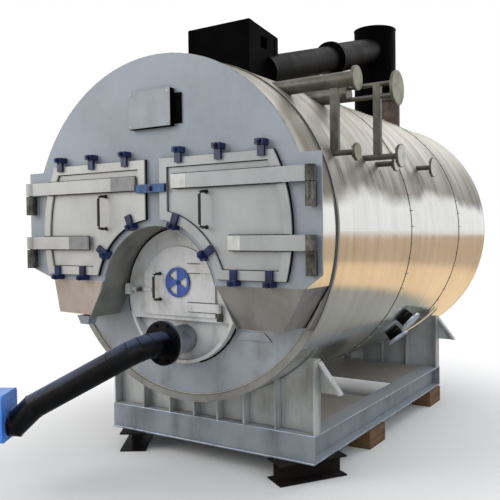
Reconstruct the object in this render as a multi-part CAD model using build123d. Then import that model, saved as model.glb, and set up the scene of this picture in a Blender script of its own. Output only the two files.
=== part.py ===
from build123d import *
import os
from math import atan, cos, degrees, hypot, radians, sin, sqrt, tan

# Horizontal three-pass smoke-tube boiler on a steel skid.
# Millimetres. X runs across the front, Y back along the shell, Z up.
# Everything is drawn with the shell axis on X = 0, Z = 0 and the front tube plate at Y = 0,
# then moved so that the origin is on the ground under the middle of the whole plant.

# Clearances
seat = 0.3            # between pieces that rest on each other
running = 0.5         # radial play of a hinge pin
knuckle_gap = 6.0     # between the turning and the fixed half of a hinge
swing_gap = 5.0       # round what turns past a fixed piece
past = 500.0          # how far a cutting body reaches beyond what it cuts

# Shell and cladding
shell_radius = 1250.0
cladding_wall = 60.0
front_seam = 1388.0
rear_seam = 2814.0
shell_length = 3850.0
rear_step = 9.0
band_width = 44.0
band_height = 4.0
end_plate = 14.0
cover_radius = 330.0
cover_thickness = 28.0
cover_flange = 60.0

# Front tube plate and its rim
plate_front = -22.0
plate_thickness = 30.0
rim_step = 4.0
rim_proud = 12.0
rim_width = 47.0
rim_top = -655.0

# Furnace tube
furnace_z = -462.0
furnace_radius = 450.0
furnace_wall = 14.0
furnace_length = 2950.0

# Smoke box
face_front = -355.0
sheet = 12.0
box_step = 7.0
ear_step = 60.0
ear_top = 484.0
ear_bottom = -262.0
hopper_top = -352.0
hopper_bottom = -636.0
hopper_side_left = 203.0
hopper_side_right = 61.0
hopper_slope_left = 10.0
hopper_slope_right = 176.0
hopper_rise_left = 24.0  # by which the left hopper's outer bottom corner stands higher
hopper_lean = 46.0
arch_radius = 512.0
arch_kink = -340.0
arch_foot = 668.0

# Smoke box doors
door_inner = 68.0
door_top = 515.0
door_bottom = -308.0
door_edge = 133.0
door_arch_step = 50.0
door_rim = 62.0
door_rim_height = 30.0
door_skin = 12.0
lining_depth = 52.0
lining_margin = 20.0
door_swing = 110.0

# Door hinges and straps
hinge_from_ear = 53.0
hinge_stand = 45.0
eye_radius = 33.0
pin_radius = 14.0
strap_height = 96.0
strap_thickness = 24.0
strap_levels = (352.0, -68.0)
strap_ends_left = (146.0, 613.0)
strap_ends_right = (188.0, 650.0)
knuckle_height = 145.0
knuckle_pad = 44.0

# Handles
handle_x = 458.0
handle_low = 36.0
handle_high = 272.0
handle_standoff = 80.0
handle_radius = 9.0
handle_bend = 22.0

# Dog clamps
clamp_length = 106.0
clamp_width = 50.0
clamp_thickness = 22.0
clamp_head_width = 62.0
clamp_head_length = 37.0
clamp_head_height = 74.0
clamp_overlap = 14.0
arch_clamp_overlap = 15.0
top_clamps = 3
top_clamp_first = 245.0
top_clamp_margin = 78.0
bottom_clamp_margin = 111.0
bottom_clamp_spacing = 270.0
arch_clamp_angles = (20.5, 55.3)
centre_clamp_z = 312.0
centre_clamp_half = 130.0
centre_clamp_height = 58.0
centre_block_half = 22.0

# Blank name plate box
name_plate_half_width = 186.0
name_plate_low = 731.0
name_plate_high = 990.0
name_plate_proud = 45.0

# Furnace front
drum_radius = 500.0
drum_front = -90.0
ledge_z = -642.0
drum_rim = 24.0
recess_back = -26.0
fire_hole_inset = 40.0

# Fire door
leaf_radius = 365.0
leaf_half_width = 330.0
leaf_bottom = -610.0
leaf_thickness = 15.0
fire_hinge_x = 372.0
fire_hinge_y = -119.0
fire_eye_radius = 17.0
fire_pin_radius = 8.0
fire_strap_levels = (-259.0, -540.0)
fire_strap_height = 63.0
fire_strap_thickness = 12.0
fire_knuckle_height = 52.0
fire_swing = 90.0
fire_handle_x = -172.0
fire_handle_low = -494.0
fire_handle_high = -303.0
fire_handle_standoff = 78.0
latch_z = -425.0
latch_length = 128.0
latch_height = 26.0
latch_start = -318.0
latch_bracket_gap = 8.0
keeper_wall = 20.0
keeper_height = 30.0

# Damper wheel
wheel_radius = 110.0
wheel_z = -362.0
wheel_rim = 20.0
wheel_thickness = 10.0
wheel_hub = 22.0
wheel_gap = 5.5
wheel_vane = 64.0
wheel_swing = 60.0
spindle_radius = 7.0

# Air inlet
air_z = -785.0
air_radius = 105.0
air_wall = 6.0
duct_radius = 86.0
duct_wall = 5.0
air_flange_radius = 160.0
air_flange_thickness = 18.0
spigot_end = -285.0
elbow_y = -533.0
elbow_tangent = 110.0
elbow_cuts = 3
elbow_seam = 220.0
duct_seam = 530.0           # along the long run, where its two lengths meet
duct_heading = 31.0       # how far the duct points forward of straight left, in degrees
duct_run = 840.0
duct_fall = 28.2           # fall of the long run, in degrees
duct_drop_length = 170.0
duct_drop_fall = 44.0
duct_mouth_length = 45.0
collar_length = 140.0
collar_width = 285.0
collar_height = 325.0
collar_rise = 60.0
collar_bore = 83.0
collar_corner = 30.0

# Flue box, flue duct and stack
flue_box_half_width = 293.0
flue_box_front = 440.0
flue_box_back = 870.0
flue_box_height = 402.0
flue_box_drop = 52.0
flue_window = 95.0
flue_window_depth = 60.0
flue_window_edge = 40.0
flue_x = 240.0
flue_duct_start = 742.0
flue_duct_height = 55.0
flue_slope = 0.29
flue_duct_radius = 123.0
flue_joint_y = 1985.0
flue_back_radius = 140.0
flue_joint_radius = 166.0
flue_joint_length = 34.0
stack_y = 3110.0
stack_radius = 225.0
stack_wall = 8.0
stack_floor = 8.0
stack_height = 960.0
vent_x = 505.0
vent_y = 2890.0
vent_radius = 92.0
vent_height = 135.0
vent_flange = 118.0
vent_flange_thickness = 20.0

# Gauge connections on the right side
gauge_flange_thickness = 18.0
front_gauge_y = 150.0
front_gauge_stand = 68.0
front_gauge_drops = (245.0, 728.0)
front_gauge_pipes = (52.0, 19.0)
front_gauge_flanges = (82.0, 59.0)
front_post_inset = 98.0
rear_gauge_y = 695.0
rear_gauge_drops = (226.0, 713.0)
rear_gauge_stand = (143.0, 168.0)
rear_gauge_pipes = (60.0, 22.0)
rear_gauge_flanges = (124.0, 84.0)
rear_stub_inset = 238.0
rod_lap = 50.0
rod_radius = 17.0
rod_spacing = 88.0
rear_post_inset = 14.0
post_width = 58.0
post_depth = 34.0
side_nozzle_y = (913.0, 1906.0)
side_nozzle_drops = (742.0, 697.0)
side_nozzle_stand = (50.0, 22.0)
side_nozzle_flanges = (60.0, 86.0)
side_nozzle_pipe = 21.0

# Hand holes low on the right side, as (Y, angle below level)
hand_holes = ((2028.0, 40.0), (2210.0, 51.5))
hand_hole_radius = 70.0
hand_hole_flange = 112.0
hand_hole_reach = 60.0
hand_hole_plate = 16.0

# Skid
skid_half_width = 959.0
skid_front = 195.0
skid_back = 3079.0
skid_drop = 190.0
skid_depth = 200.0
beam_width = 150.0
beam_flange = 11.0
beam_web = 8.0
channel_width = 75.0
toe_width = 15.0
deck_thickness = 8.0
deck_drop = 4.0
front_deck_end = 1480.0
rear_deck_start = 2100.0

# Saddles
saddle_half_width = 955.0
saddle_plate = 15.0
saddle_height = 535.0
rib_depth = 80.0
rib_thickness = 12.0
rib_places = (112.0, 355.0, 630.0, 949.0)
bracket_reach = 170.0
bracket_height = 220.0
bracket_drop = 20.0
bracket_flange = 60.0

# Packing under the skid
packing_height = 150.0
steel_packing_length = 547.0
steel_packing_width = 210.0
steel_packing_turn = 33.0
steel_packing_x = 821.0
steel_packing_y = 338.0
timber_width = 190.0
timber_length = 330.0
timber_x = 884.0
timber_y = (1300.0, 2860.0)

skid_top = -shell_radius - skid_drop
skid_bottom = skid_top - skid_depth
saddle_top = skid_top + saddle_height
ground = skid_bottom - packing_height
rim_radius = shell_radius + rim_step
box_radius = shell_radius - box_step
ear_half_width = box_radius + ear_step
hopper_outer_left = box_radius - hopper_side_left
hopper_outer_right = box_radius - hopper_side_right
hopper_toe_left = hopper_outer_left - hopper_slope_left
hopper_toe_right = hopper_outer_right - hopper_slope_right
door_radius = box_radius - door_edge
door_arch = arch_radius + door_arch_step
hinge_x = ear_half_width - hinge_from_ear
hinge_y = face_front - hinge_stand
flue_box_top = shell_radius + flue_box_height
flue_duct_start_z = shell_radius + flue_duct_height
stack_top = shell_radius + stack_height
vent_top = shell_radius + vent_height
face_back = face_front + sheet
door_back = face_front - seat
door_front = door_back - door_rim_height
smoke_box_back = plate_front - seat
leaf_back = drum_front - seat
leaf_front = leaf_back - leaf_thickness


def slab(outline, y_front, y_back):
    """Extrude an outline drawn in X and Z between two Y values."""
    plane = Plane(origin=(0, y_back, 0), x_dir=(1, 0, 0), z_dir=(0, -1, 0))
    return extrude(plane * outline, amount=y_back - y_front)


def area(x_low, x_high, z_low, z_high):
    """Rectangle in X and Z given by its edges."""
    return Pos((x_low + x_high) / 2, (z_low + z_high) / 2) * Rectangle(x_high - x_low, z_high - z_low)


def block(x_low, x_high, y_low, y_high, z_low, z_high):
    """Box given by its faces."""
    centre = ((x_low + x_high) / 2, (y_low + y_high) / 2, (z_low + z_high) / 2)
    return Pos(*centre) * Box(x_high - x_low, y_high - y_low, z_high - z_low)


def disc(radius, y_front, y_back, x=0.0, z=0.0):
    """Round bar along Y."""
    return slab(Pos(x, z) * Circle(radius), y_front, y_back)


def ring(outer, inner, y_front, y_back, x=0.0, z=0.0):
    """Ring or tube along Y."""
    return slab(Pos(x, z) * (Circle(outer) - Circle(inner)), y_front, y_back)


def bar_x(radius, x_low, x_high, y, z):
    """Round bar along X."""
    plane = Plane(origin=(x_low, y, z), z_dir=(1, 0, 0))
    return extrude(plane * Circle(radius), amount=x_high - x_low)


def post_z(radius, x, y, z_low, z_high):
    """Round bar along Z."""
    return extrude(Pos(x, y, z_low) * Circle(radius), amount=z_high - z_low)


def shell_cut(extra=seat):
    """The space that the shell takes, from which pieces standing on it are cut."""
    return disc(shell_radius + extra, plate_front, shell_length + past)


def shell_side(level, radius):
    """X just inside the shell's side at a level, where a side pipe of that radius starts."""
    return sqrt(shell_radius**2 - level**2) - 2 * radius


def mitred_bar(points, outer, inner=0.0):
    """Round bar or pipe along straight runs, cut to a mitre at each corner."""
    runs = [(b - a).normalized() for a, b in zip(points, points[1:])]
    section = Circle(outer) - Circle(inner) if inner else Circle(outer)
    pieces = []
    for i, run in enumerate(runs):
        start, end = points[i], points[i + 1]
        first = i == 0
        last = i == len(runs) - 1
        back = 0.0 if first else 2 * outer
        length = (end - start).length + back + (0.0 if last else 2 * outer)
        piece = extrude(Plane(origin=start - run * back, z_dir=run) * section, amount=length)
        if not first:
            piece = split(piece, bisect_by=Plane(origin=start, z_dir=runs[i - 1] + run), keep=Keep.TOP)
        if not last:
            piece = split(piece, bisect_by=Plane(origin=end, z_dir=run + runs[i + 1]), keep=Keep.BOTTOM)
        pieces.append(piece)
    whole = pieces[0]
    for piece in pieces[1:]:
        whole += piece
    return whole


def bow_handle(x, low, high, foot_y, standoff, radius):
    """Bar with cut corners standing on a face that looks forward."""
    corner = handle_bend * tan(radians(22.5)) * sqrt(2)
    front = foot_y - standoff
    points = [(x, foot_y, low), (x, front + corner, low), (x, front, low + corner),
              (x, front, high - corner), (x, front + corner, high), (x, foot_y, high)]
    return mitred_bar([Vector(*point) for point in points], radius)


def clad_ring(y_front, y_back, radius, bands=()):
    """One clad ring turned from its profile, with raised bands."""
    profile = area(shell_radius - cladding_wall, radius, y_front, y_back)
    for low, high in bands:
        profile += area(radius - band_height, radius + band_height, low, high)
    return revolve(Plane.XY * profile, axis=Axis.Y)


def claddings():
    """The three clad rings of the shell, the middle one with a raised band at each end."""
    rear_radius = shell_radius - rear_step
    bands = ((front_seam, front_seam + band_width), (rear_seam - band_width, rear_seam))
    middle = clad_ring(front_seam, rear_seam, shell_radius, bands)
    middle -= post_z(vent_radius + seat, vent_x, vent_y, 0.0, vent_top) - shell_cut()
    return {
        "front_cladding": clad_ring(0.0, front_seam, shell_radius),
        "middle_cladding": middle,
        "rear_cladding": clad_ring(rear_seam, shell_length - end_plate, rear_radius),
    }


def rear_end():
    """Flat rear end with a round bolted access cover."""
    radius = shell_radius - rear_step
    end = disc(radius, shell_length - end_plate, shell_length)
    back = shell_length + cover_thickness
    cover = disc(cover_radius, shell_length, back)
    cover += disc(cover_radius - cover_flange, back, back + cover_thickness / 2)
    return {"rear_end_plate": end, "rear_access_cover": cover}


def tube_plate():
    """Front tube plate, its rim and the furnace tube that it carries."""
    inner = shell_radius - cladding_wall
    plate_back = plate_front + plate_thickness
    plate = disc(inner - seat, plate_front, plate_back)
    plate -= disc(furnace_radius + seat, plate_front, plate_back, z=furnace_z)
    rim = ring(rim_radius, inner, plate_front, 0.0)
    proud = ring(rim_radius, rim_radius - rim_width, plate_front - rim_proud, plate_front)
    rim += proud & block(-rim_radius, rim_radius, plate_front - rim_proud, plate_front, -rim_radius, rim_top)
    tube = disc(furnace_radius, plate_front, furnace_length, z=furnace_z)
    tube -= disc(furnace_radius - furnace_wall, plate_front, furnace_length - furnace_wall, z=furnace_z)
    return {"front_tube_plate": plate, "front_rim_flange": rim, "furnace_tube": tube}


def arch_outline(grow=0.0):
    """Arched passage round the furnace front, flared at its feet."""
    radius = arch_radius + grow
    head = Pos(0, furnace_z) * Circle(radius)
    head &= area(-radius, radius, arch_kink, furnace_z + radius)
    kink_x = sqrt(radius**2 - (arch_kink - furnace_z) ** 2)
    foot_x = arch_foot + grow
    foot_z = hopper_bottom - grow
    skirt = make_face(Polyline((-kink_x, arch_kink), (kink_x, arch_kink), (foot_x, foot_z),
                               (-foot_x, foot_z), close=True))
    return head + skirt


def box_outline(inset=0.0):
    """Outline of the smoke box down to the hopper tops, without the ears and the arch."""
    radius = box_radius - inset
    body = Circle(radius) & area(-radius, radius, hopper_top, radius)
    corner = sqrt(box_radius**2 - ear_bottom**2)
    cut = make_face(Polyline((-corner, ear_bottom), (-hopper_outer_left + inset, hopper_top),
                             (-box_radius, hopper_top), (-box_radius, ear_bottom), close=True))
    return body - cut


def hopper_outline(side, inset=0.0):
    """Front outline of one ash hopper."""
    outer = hopper_outer_left if side < 0 else hopper_outer_right
    toe = hopper_toe_left if side < 0 else hopper_toe_right
    low = hopper_bottom + inset
    rise = hopper_rise_left if side < 0 else 0.0
    points = [(0.0, hopper_top), (side * (outer - inset), hopper_top), (side * (toe - inset), low + rise),
              (0.0, low)]
    return make_face(Polyline(*points, close=True)) - arch_outline(seat + sheet + inset)


def hopper(side):
    """Folded sheet hopper under one door, its front leaning back towards the bottom."""
    def wedge(inset):
        top = face_front + inset
        points = [(top, hopper_top), (top + hopper_lean, hopper_bottom), (top - past, hopper_bottom),
                  (top - past, hopper_top)]
        profile = make_face(Polyline(*points, close=True))
        plane = Plane(origin=(-ear_half_width, 0, 0), x_dir=(0, 1, 0), z_dir=(1, 0, 0))
        return extrude(plane * profile, amount=2 * ear_half_width)

    body = slab(hopper_outline(side), face_front, smoke_box_back) - wedge(0.0)
    hollow = slab(hopper_outline(side, sheet), face_front, smoke_box_back) - wedge(sheet)
    return body - hollow


def smoke_box():
    """Wrapper, face with ears and door openings, arch sheet and the two hoppers."""
    face = Circle(box_radius) & area(-box_radius, box_radius, ear_top, box_radius)
    right = [(0, ear_top), (ear_half_width, ear_top), (ear_half_width, ear_bottom),
             (hopper_outer_right, hopper_top), (0, hopper_top)]
    left = [(0, ear_top), (-ear_half_width, ear_top), (-ear_half_width, ear_bottom),
            (-hopper_outer_left, hopper_top), (0, hopper_top)]
    face += make_face(Polyline(*right, close=True))
    face += make_face(Polyline(*left, close=True))
    face -= arch_outline()
    for side in (-1, 1):
        face -= door_panel(side)
    wrapper = slab(box_outline() - box_outline(sheet), face_back, smoke_box_back)
    floor = area(-hopper_outer_left, hopper_outer_right, hopper_top - 1.0, hopper_top + sheet)
    wrapper -= slab(floor & area(-hopper_outer_left + sheet, hopper_outer_right - sheet, hopper_bottom, ear_top),
                    face_back, smoke_box_back)
    arch = arch_outline(sheet) - arch_outline()
    arch -= area(-box_radius, box_radius, hopper_bottom - past, hopper_bottom)
    return {
        "smoke_box_face": slab(face, face_front, face_back),
        "smoke_box_wrapper": wrapper,
        "furnace_arch": slab(arch, face_back, smoke_box_back),
        "left_ash_hopper": hopper(-1),
        "right_ash_hopper": hopper(1),
    }


def door_outline(side, inset=0.0):
    """Outline of a smoke box door: straight inner, top and bottom edges, round outer and arched edge."""
    x_low, x_high = sorted((side * (door_inner + inset), side * (door_radius - inset)))
    outline = area(x_low, x_high, door_bottom + inset, door_top - inset)
    outline &= Circle(door_radius - inset)
    return outline - Pos(0, furnace_z) * Circle(door_arch + inset)


def door_panel(side):
    """Outline of the sunk panel of a door, which is also its opening in the face."""
    return door_outline(side, door_rim)


def door(side):
    """One pan-shaped smoke box door with its lining."""
    leaf = slab(door_outline(side), door_front, door_back)
    leaf -= slab(door_panel(side), door_front, door_back - door_skin)
    lining = slab(door_outline(side, door_rim + lining_margin), door_back, door_back + lining_depth)
    return leaf, lining


def door_ironwork(side):
    """Hinge straps with their eyes, and the bow handle."""
    ends = strap_ends_left if side < 0 else strap_ends_right
    pieces = []
    for level, end in zip(strap_levels, ends):
        low, high = level - strap_height / 2, level + strap_height / 2
        x_low, x_high = sorted((side * end, side * hinge_x))
        strap = block(x_low, x_high, door_front - strap_thickness, door_front, low, high)
        strap += post_z(eye_radius, side * hinge_x, hinge_y, low, high)
        strap -= post_z(pin_radius + running, side * hinge_x, hinge_y, low, high)
        pieces.append(strap)
    pieces.append(bow_handle(side * handle_x, handle_low, handle_high, door_back - door_skin,
                             handle_standoff, handle_radius))
    return Compound(children=pieces)


def clamp(place):
    """Dog clamp: a flat bar over the door rim with its head over the frame, pointing along local Y."""
    half = clamp_length / 2
    bar = area(-clamp_width / 2, clamp_width / 2, -half, half)
    head = area(-clamp_head_width / 2, clamp_head_width / 2, half - clamp_head_length, half)
    body = slab(place * bar, door_front - clamp_thickness, door_front)
    return body + slab(place * head, door_back - clamp_head_height, door_back)


def door_clamps(side):
    """All clamps that close one door, and its half of the centre bar."""
    top_last = sqrt(door_radius**2 - door_top**2) - top_clamp_margin
    top_step = (top_last - top_clamp_first) / (top_clamps - 1)
    pieces = [clamp(Pos(side * (top_clamp_first + k * top_step), door_top + clamp_overlap)) for k in range(top_clamps)]
    bottom_last = sqrt(door_radius**2 - door_bottom**2) - bottom_clamp_margin
    for x in (bottom_last - bottom_clamp_spacing, bottom_last):
        pieces.append(clamp(Pos(side * x, door_bottom + clamp_overlap) * Rot(0, 0, 180)))
    radius = door_arch + arch_clamp_overlap
    for angle in arch_clamp_angles:
        x = side * radius * sin(radians(angle))
        z = furnace_z + radius * cos(radians(angle))
        pieces.append(clamp(Pos(x, z) * Rot(0, 0, 180 - side * angle)))
    x_low, x_high = sorted((side * (centre_block_half + knuckle_gap), side * centre_clamp_half))
    half = centre_clamp_height / 2
    pieces.append(block(x_low, x_high, door_front - clamp_thickness, door_front,
                        centre_clamp_z - half, centre_clamp_z + half))
    return Compound(children=pieces)


def hinge_brackets():
    """Fixed lower knuckles with their pins, for both smoke box doors and for the fire door."""
    pieces = []
    for side in (-1, 1):
        for level in strap_levels:
            top = level - strap_height / 2 - knuckle_gap
            x = side * hinge_x
            knuckle = post_z(eye_radius, x, hinge_y, top - knuckle_height, top)
            knuckle += block(x - knuckle_pad / 2, x + knuckle_pad / 2, hinge_y, face_front - seat,
                             top - knuckle_height, top)
            knuckle += post_z(pin_radius, x, hinge_y, top, level + strap_height / 2)
            pieces.append(knuckle)
    for level in fire_strap_levels:
        top = level - fire_strap_height / 2 - knuckle_gap
        knuckle = post_z(fire_eye_radius, fire_hinge_x, fire_hinge_y, top - fire_knuckle_height, top)
        knuckle += block(fire_hinge_x - fire_eye_radius, fire_hinge_x + fire_eye_radius, fire_hinge_y,
                         drum_front - seat, top - fire_knuckle_height, top)
        knuckle += post_z(fire_pin_radius, fire_hinge_x, fire_hinge_y, top, level + fire_strap_height / 2)
        pieces.append(knuckle)
    return Compound(children=pieces)


def centre_clamp_block():
    """Stud block on the face between the doors, under the centre bar."""
    half = centre_clamp_height / 2
    return block(-centre_block_half, centre_block_half, door_front - clamp_thickness, face_front - seat,
                 centre_clamp_z - half, centre_clamp_z + half)


def name_plate():
    """Blank shallow box on the face."""
    return block(-name_plate_half_width, name_plate_half_width, face_front - name_plate_proud,
                 face_front - seat, name_plate_low, name_plate_high)


def leaf_outline(inset=0.0):
    """Outline of the fire door."""
    circle = Pos(0, furnace_z) * Circle(leaf_radius - inset)
    half = leaf_half_width - inset
    return circle & area(-half, half, leaf_bottom + inset, furnace_z + leaf_radius)


def furnace_front():
    """Round furnace front with the fire hole, the ledge and the sunk air chamber below it."""
    drum = disc(drum_radius, drum_front, plate_front - seat, z=furnace_z)
    drum -= slab(leaf_outline(fire_hole_inset), drum_front, plate_front)
    chamber = Pos(0, furnace_z) * Circle(drum_radius - drum_rim)
    chamber &= area(-drum_radius, drum_radius, furnace_z - drum_radius, ledge_z)
    drum -= slab(chamber, drum_front, recess_back - seat)
    drum -= disc(air_radius - air_wall, recess_back - seat, plate_front, z=air_z)
    half = latch_height / 2 + latch_bracket_gap
    keeper = slab(area(-drum_radius, latch_start - latch_length - latch_bracket_gap, latch_z - half - keeper_wall,
                       latch_z + half + keeper_wall) & Pos(0, furnace_z) * Circle(drum_radius),
                  leaf_front - keeper_height, drum_front)
    return drum + keeper


def fire_door():
    """Fire door leaf, its straps, handle and latch bar."""
    leaf = slab(leaf_outline(), leaf_front, leaf_back)
    pieces = []
    level_gap = abs(wheel_z - fire_strap_levels[0]) - fire_strap_height / 2
    strap_end = sqrt((wheel_radius + swing_gap) ** 2 - level_gap**2)
    for level in fire_strap_levels:
        low, high = level - fire_strap_height / 2, level + fire_strap_height / 2
        strap = block(strap_end, fire_hinge_x, leaf_front - fire_strap_thickness, leaf_front, low, high)
        strap += post_z(fire_eye_radius, fire_hinge_x, fire_hinge_y, low, high)
        strap -= post_z(fire_pin_radius + running, fire_hinge_x, fire_hinge_y, low, high)
        pieces.append(strap)
    pieces.append(bow_handle(fire_handle_x, fire_handle_low, fire_handle_high, leaf_front,
                             fire_handle_standoff, handle_radius))
    half = latch_height / 2
    pieces.append(block(latch_start - latch_length, latch_start + latch_length / 2,
                        leaf_front - fire_strap_thickness, leaf_front, latch_z - half, latch_z + half))
    pieces.append(disc(spindle_radius, leaf_front - wheel_gap - wheel_thickness - running, leaf_front, z=wheel_z))
    return {"fire_door": leaf, "fire_door_ironwork": Compound(children=pieces)}


def damper_wheel():
    """Air register wheel: rim, three vanes and three sector openings round a hub."""
    back = leaf_front - wheel_gap
    wheel = Circle(wheel_radius)
    window = Circle(wheel_radius - wheel_rim) - Circle(wheel_hub)
    reach = wheel_radius * 2
    for turn in (0, 120, 240):
        half = radians(wheel_vane / 2)
        sector = make_face(Polyline((0, 0), (reach * cos(half), reach * sin(half)),
                                    (reach * cos(half), -reach * sin(half)), close=True))
        window -= Rot(0, 0, 180 + turn) * sector
    wheel -= window
    wheel -= Circle(spindle_radius + running)
    return slab(Pos(0, wheel_z) * wheel, back - wheel_thickness, back)


def duct_way():
    """Axis points of the elbow, its joint, the seam of the long run, and the points from the run's foot on."""
    def ahead(fall):
        turn, drop = radians(duct_heading), radians(fall)
        return Vector(-cos(turn) * cos(drop), -sin(turn) * cos(drop), -sin(drop))

    out, run = Vector(0, -1, 0), ahead(duct_fall)
    corner = Vector(0, elbow_y, air_z)
    bend = out.get_angle(run)
    tangent = elbow_tangent
    radius = tangent / tan(radians(bend / 2))
    start = corner - out * tangent
    centre = start + (run - out * out.dot(run)).normalized() * radius
    step = bend / elbow_cuts
    reach = radius / cos(radians(step / 2))
    side = (start - centre).normalized()
    points = [Vector(0, spigot_end - seat, air_z)]
    for k in range(elbow_cuts):
        angle = radians(step * (k + 0.5))
        points.append(centre + side * reach * cos(angle) + out * reach * sin(angle))
    joint, seam = corner + run * elbow_seam, corner + run * duct_seam
    foot = corner + run * duct_run
    low = foot + ahead(duct_drop_fall) * duct_drop_length
    return points, joint, seam, [foot, low, low + ahead(0.0) * duct_mouth_length]


def air_inlet():
    """Spigot on the air chamber, the welded elbow, the falling duct and the blue collar at the fan end."""
    flange_back = spigot_end + air_flange_thickness
    spigot = ring(air_radius, air_radius - air_wall, spigot_end, recess_back - seat, z=air_z)
    spigot += ring(air_flange_radius, air_radius - air_wall, spigot_end, flange_back, z=air_z)
    bore = duct_radius - duct_wall
    bends, joint, seam, falling = duct_way()
    gap = (seam - joint).normalized() * seat
    elbow = mitred_bar(bends + [joint - gap], duct_radius, bore)
    front = spigot_end - seat
    elbow += ring(air_flange_radius, bore, front - air_flange_thickness, front, z=air_z)
    duct = mitred_bar([joint, seam - gap], duct_radius, bore)
    tail = mitred_bar([seam] + falling, duct_radius, bore)
    mouth = falling[-1]
    axis = (mouth - falling[-2]).normalized()
    place = Plane(origin=mouth + axis * seat, x_dir=(0, 0, 1), z_dir=axis)
    outline = Pos(collar_rise, 0) * RectangleRounded(collar_height, collar_width, collar_corner)
    collar = extrude(place * (outline - Circle(collar_bore)), amount=collar_length - seat)
    return {"air_spigot": spigot, "air_elbow": elbow, "air_duct": duct, "air_duct_foot": tail, "fan_collar": collar}


def flue():
    """Flue box, rising duct and stack on top of the shell."""
    profile = [(flue_box_front, 0.0), (flue_box_back, 0.0), (flue_box_back, flue_box_top - flue_box_drop),
               (flue_box_front, flue_box_top)]
    plane = Plane(origin=(-flue_box_half_width, 0, 0), x_dir=(0, 1, 0), z_dir=(1, 0, 0))
    box = extrude(plane * make_face(Polyline(*profile, close=True)), amount=2 * flue_box_half_width)
    box -= shell_cut()
    middle = (flue_box_front + flue_box_back) / 2
    window_top = flue_box_top - flue_box_drop - flue_window_edge
    box -= block(flue_box_half_width - flue_window_depth, flue_box_half_width, middle - flue_window / 2,
                 middle + flue_window / 2, window_top - flue_window, window_top)
    tilt = degrees(atan(flue_slope))
    joint_z = flue_duct_start_z + flue_slope * (flue_joint_y - flue_duct_start)

    def run(radius, y_low, y_high, inner=0.0):
        z_low = flue_duct_start_z + flue_slope * (y_low - flue_duct_start)
        length = hypot(y_high - y_low, flue_slope * (y_high - y_low))
        place = Pos(flue_x, y_low, z_low) * Rot(-90 + tilt, 0, 0)
        section = Circle(radius) - Circle(inner) if inner else Circle(radius)
        return extrude(place * section, amount=length)

    stack_room = post_z(stack_radius + seat, flue_x, stack_y, 0.0, stack_top)
    duct = run(flue_duct_radius, flue_duct_start, flue_joint_y)
    duct += run(flue_joint_radius, flue_joint_y - flue_joint_length / 2, flue_joint_y + flue_joint_length / 2)
    duct += run(flue_back_radius, flue_joint_y, stack_y)
    duct -= block(-flue_box_half_width - seat, flue_box_half_width + seat, 0.0, flue_box_back + seat,
                  0.0, flue_box_top)
    duct -= shell_cut()
    duct -= stack_room
    stack = post_z(stack_radius, flue_x, stack_y, 0.0, stack_top)
    stack -= post_z(stack_radius - stack_wall, flue_x, stack_y, shell_radius + stack_floor, stack_top)
    stack -= shell_cut()
    vent = post_z(vent_radius, vent_x, vent_y, 0.0, vent_top)
    vent += post_z(vent_flange, vent_x, vent_y, vent_top - vent_flange_thickness, vent_top)
    vent -= shell_cut()
    stack = stack.solids().sort_by(Axis.Z)[-1]
    return {"flue_box": box, "flue_duct": duct, "stack": stack, "vent_nozzle": vent}


def gauge_nozzles():
    """Front and rear gauge connections with their posts."""
    def nozzle(pipe, flange, stand, y, z):
        reach = shell_radius + stand
        body = bar_x(pipe, shell_side(z, pipe), reach - gauge_flange_thickness, y, z) - shell_cut()
        return body + bar_x(flange, reach - gauge_flange_thickness, reach, y, z)

    def post(x, y, z_low, z_high):
        return block(x - post_width / 2, x + post_width / 2, y - post_depth / 2, y + post_depth / 2, z_low, z_high)

    high, low = (shell_radius - drop for drop in front_gauge_drops)
    front = nozzle(front_gauge_pipes[0], front_gauge_flanges[0], front_gauge_stand, front_gauge_y, high)
    front += nozzle(front_gauge_pipes[1], front_gauge_flanges[1], front_gauge_stand, front_gauge_y, low)
    front += post(shell_radius - front_post_inset, front_gauge_y, low, high) - shell_cut()

    high, low = (shell_radius - drop for drop in rear_gauge_drops)
    y = rear_gauge_y
    stub = shell_radius - rear_stub_inset
    face = shell_radius + rear_gauge_stand[0]
    rear = bar_x(rear_gauge_pipes[0], shell_side(high, rear_gauge_pipes[0]), stub, y, high) - shell_cut()
    rear += bar_x(rear_gauge_flanges[0], face - gauge_flange_thickness, face, y, high)
    for offset in (-rod_spacing / 2, rod_spacing / 2):
        rear += bar_x(rod_radius, stub - rod_lap, face, y, high + offset)
    rear += nozzle(rear_gauge_pipes[1], rear_gauge_flanges[1], rear_gauge_stand[1], y, low)
    rear += post(shell_radius - rear_post_inset, y, low, high + rod_spacing / 2)
    return Compound(children=[front, rear])


def side_nozzles():
    """Two plain nozzles further back on the right side, and the covered hand holes low down."""
    pieces = []
    for y, drop, stand, flange in zip(side_nozzle_y, side_nozzle_drops, side_nozzle_stand, side_nozzle_flanges):
        z = shell_radius - drop
        reach = shell_radius + stand
        pipe = bar_x(side_nozzle_pipe, shell_side(z, side_nozzle_pipe), reach - gauge_flange_thickness, y, z)
        pieces.append(pipe - shell_cut() + bar_x(flange, reach - gauge_flange_thickness, reach, y, z))
    return Compound(children=pieces + hand_holes_covered())


def hand_holes_covered():
    """Short radial necks with blank covers low on the right side."""
    pieces = []
    for y, angle in hand_holes:
        place = Pos(0, y, 0) * Rot(0, 90 + angle, 0)
        neck = extrude(place * Circle(hand_hole_radius), amount=shell_radius + hand_hole_reach)
        neck -= shell_cut()
        start = shell_radius + hand_hole_reach
        cover = extrude(place * Pos(0, 0, start) * Circle(hand_hole_flange), amount=hand_hole_plate)
        pieces.append(neck + cover)
    return pieces


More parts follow.
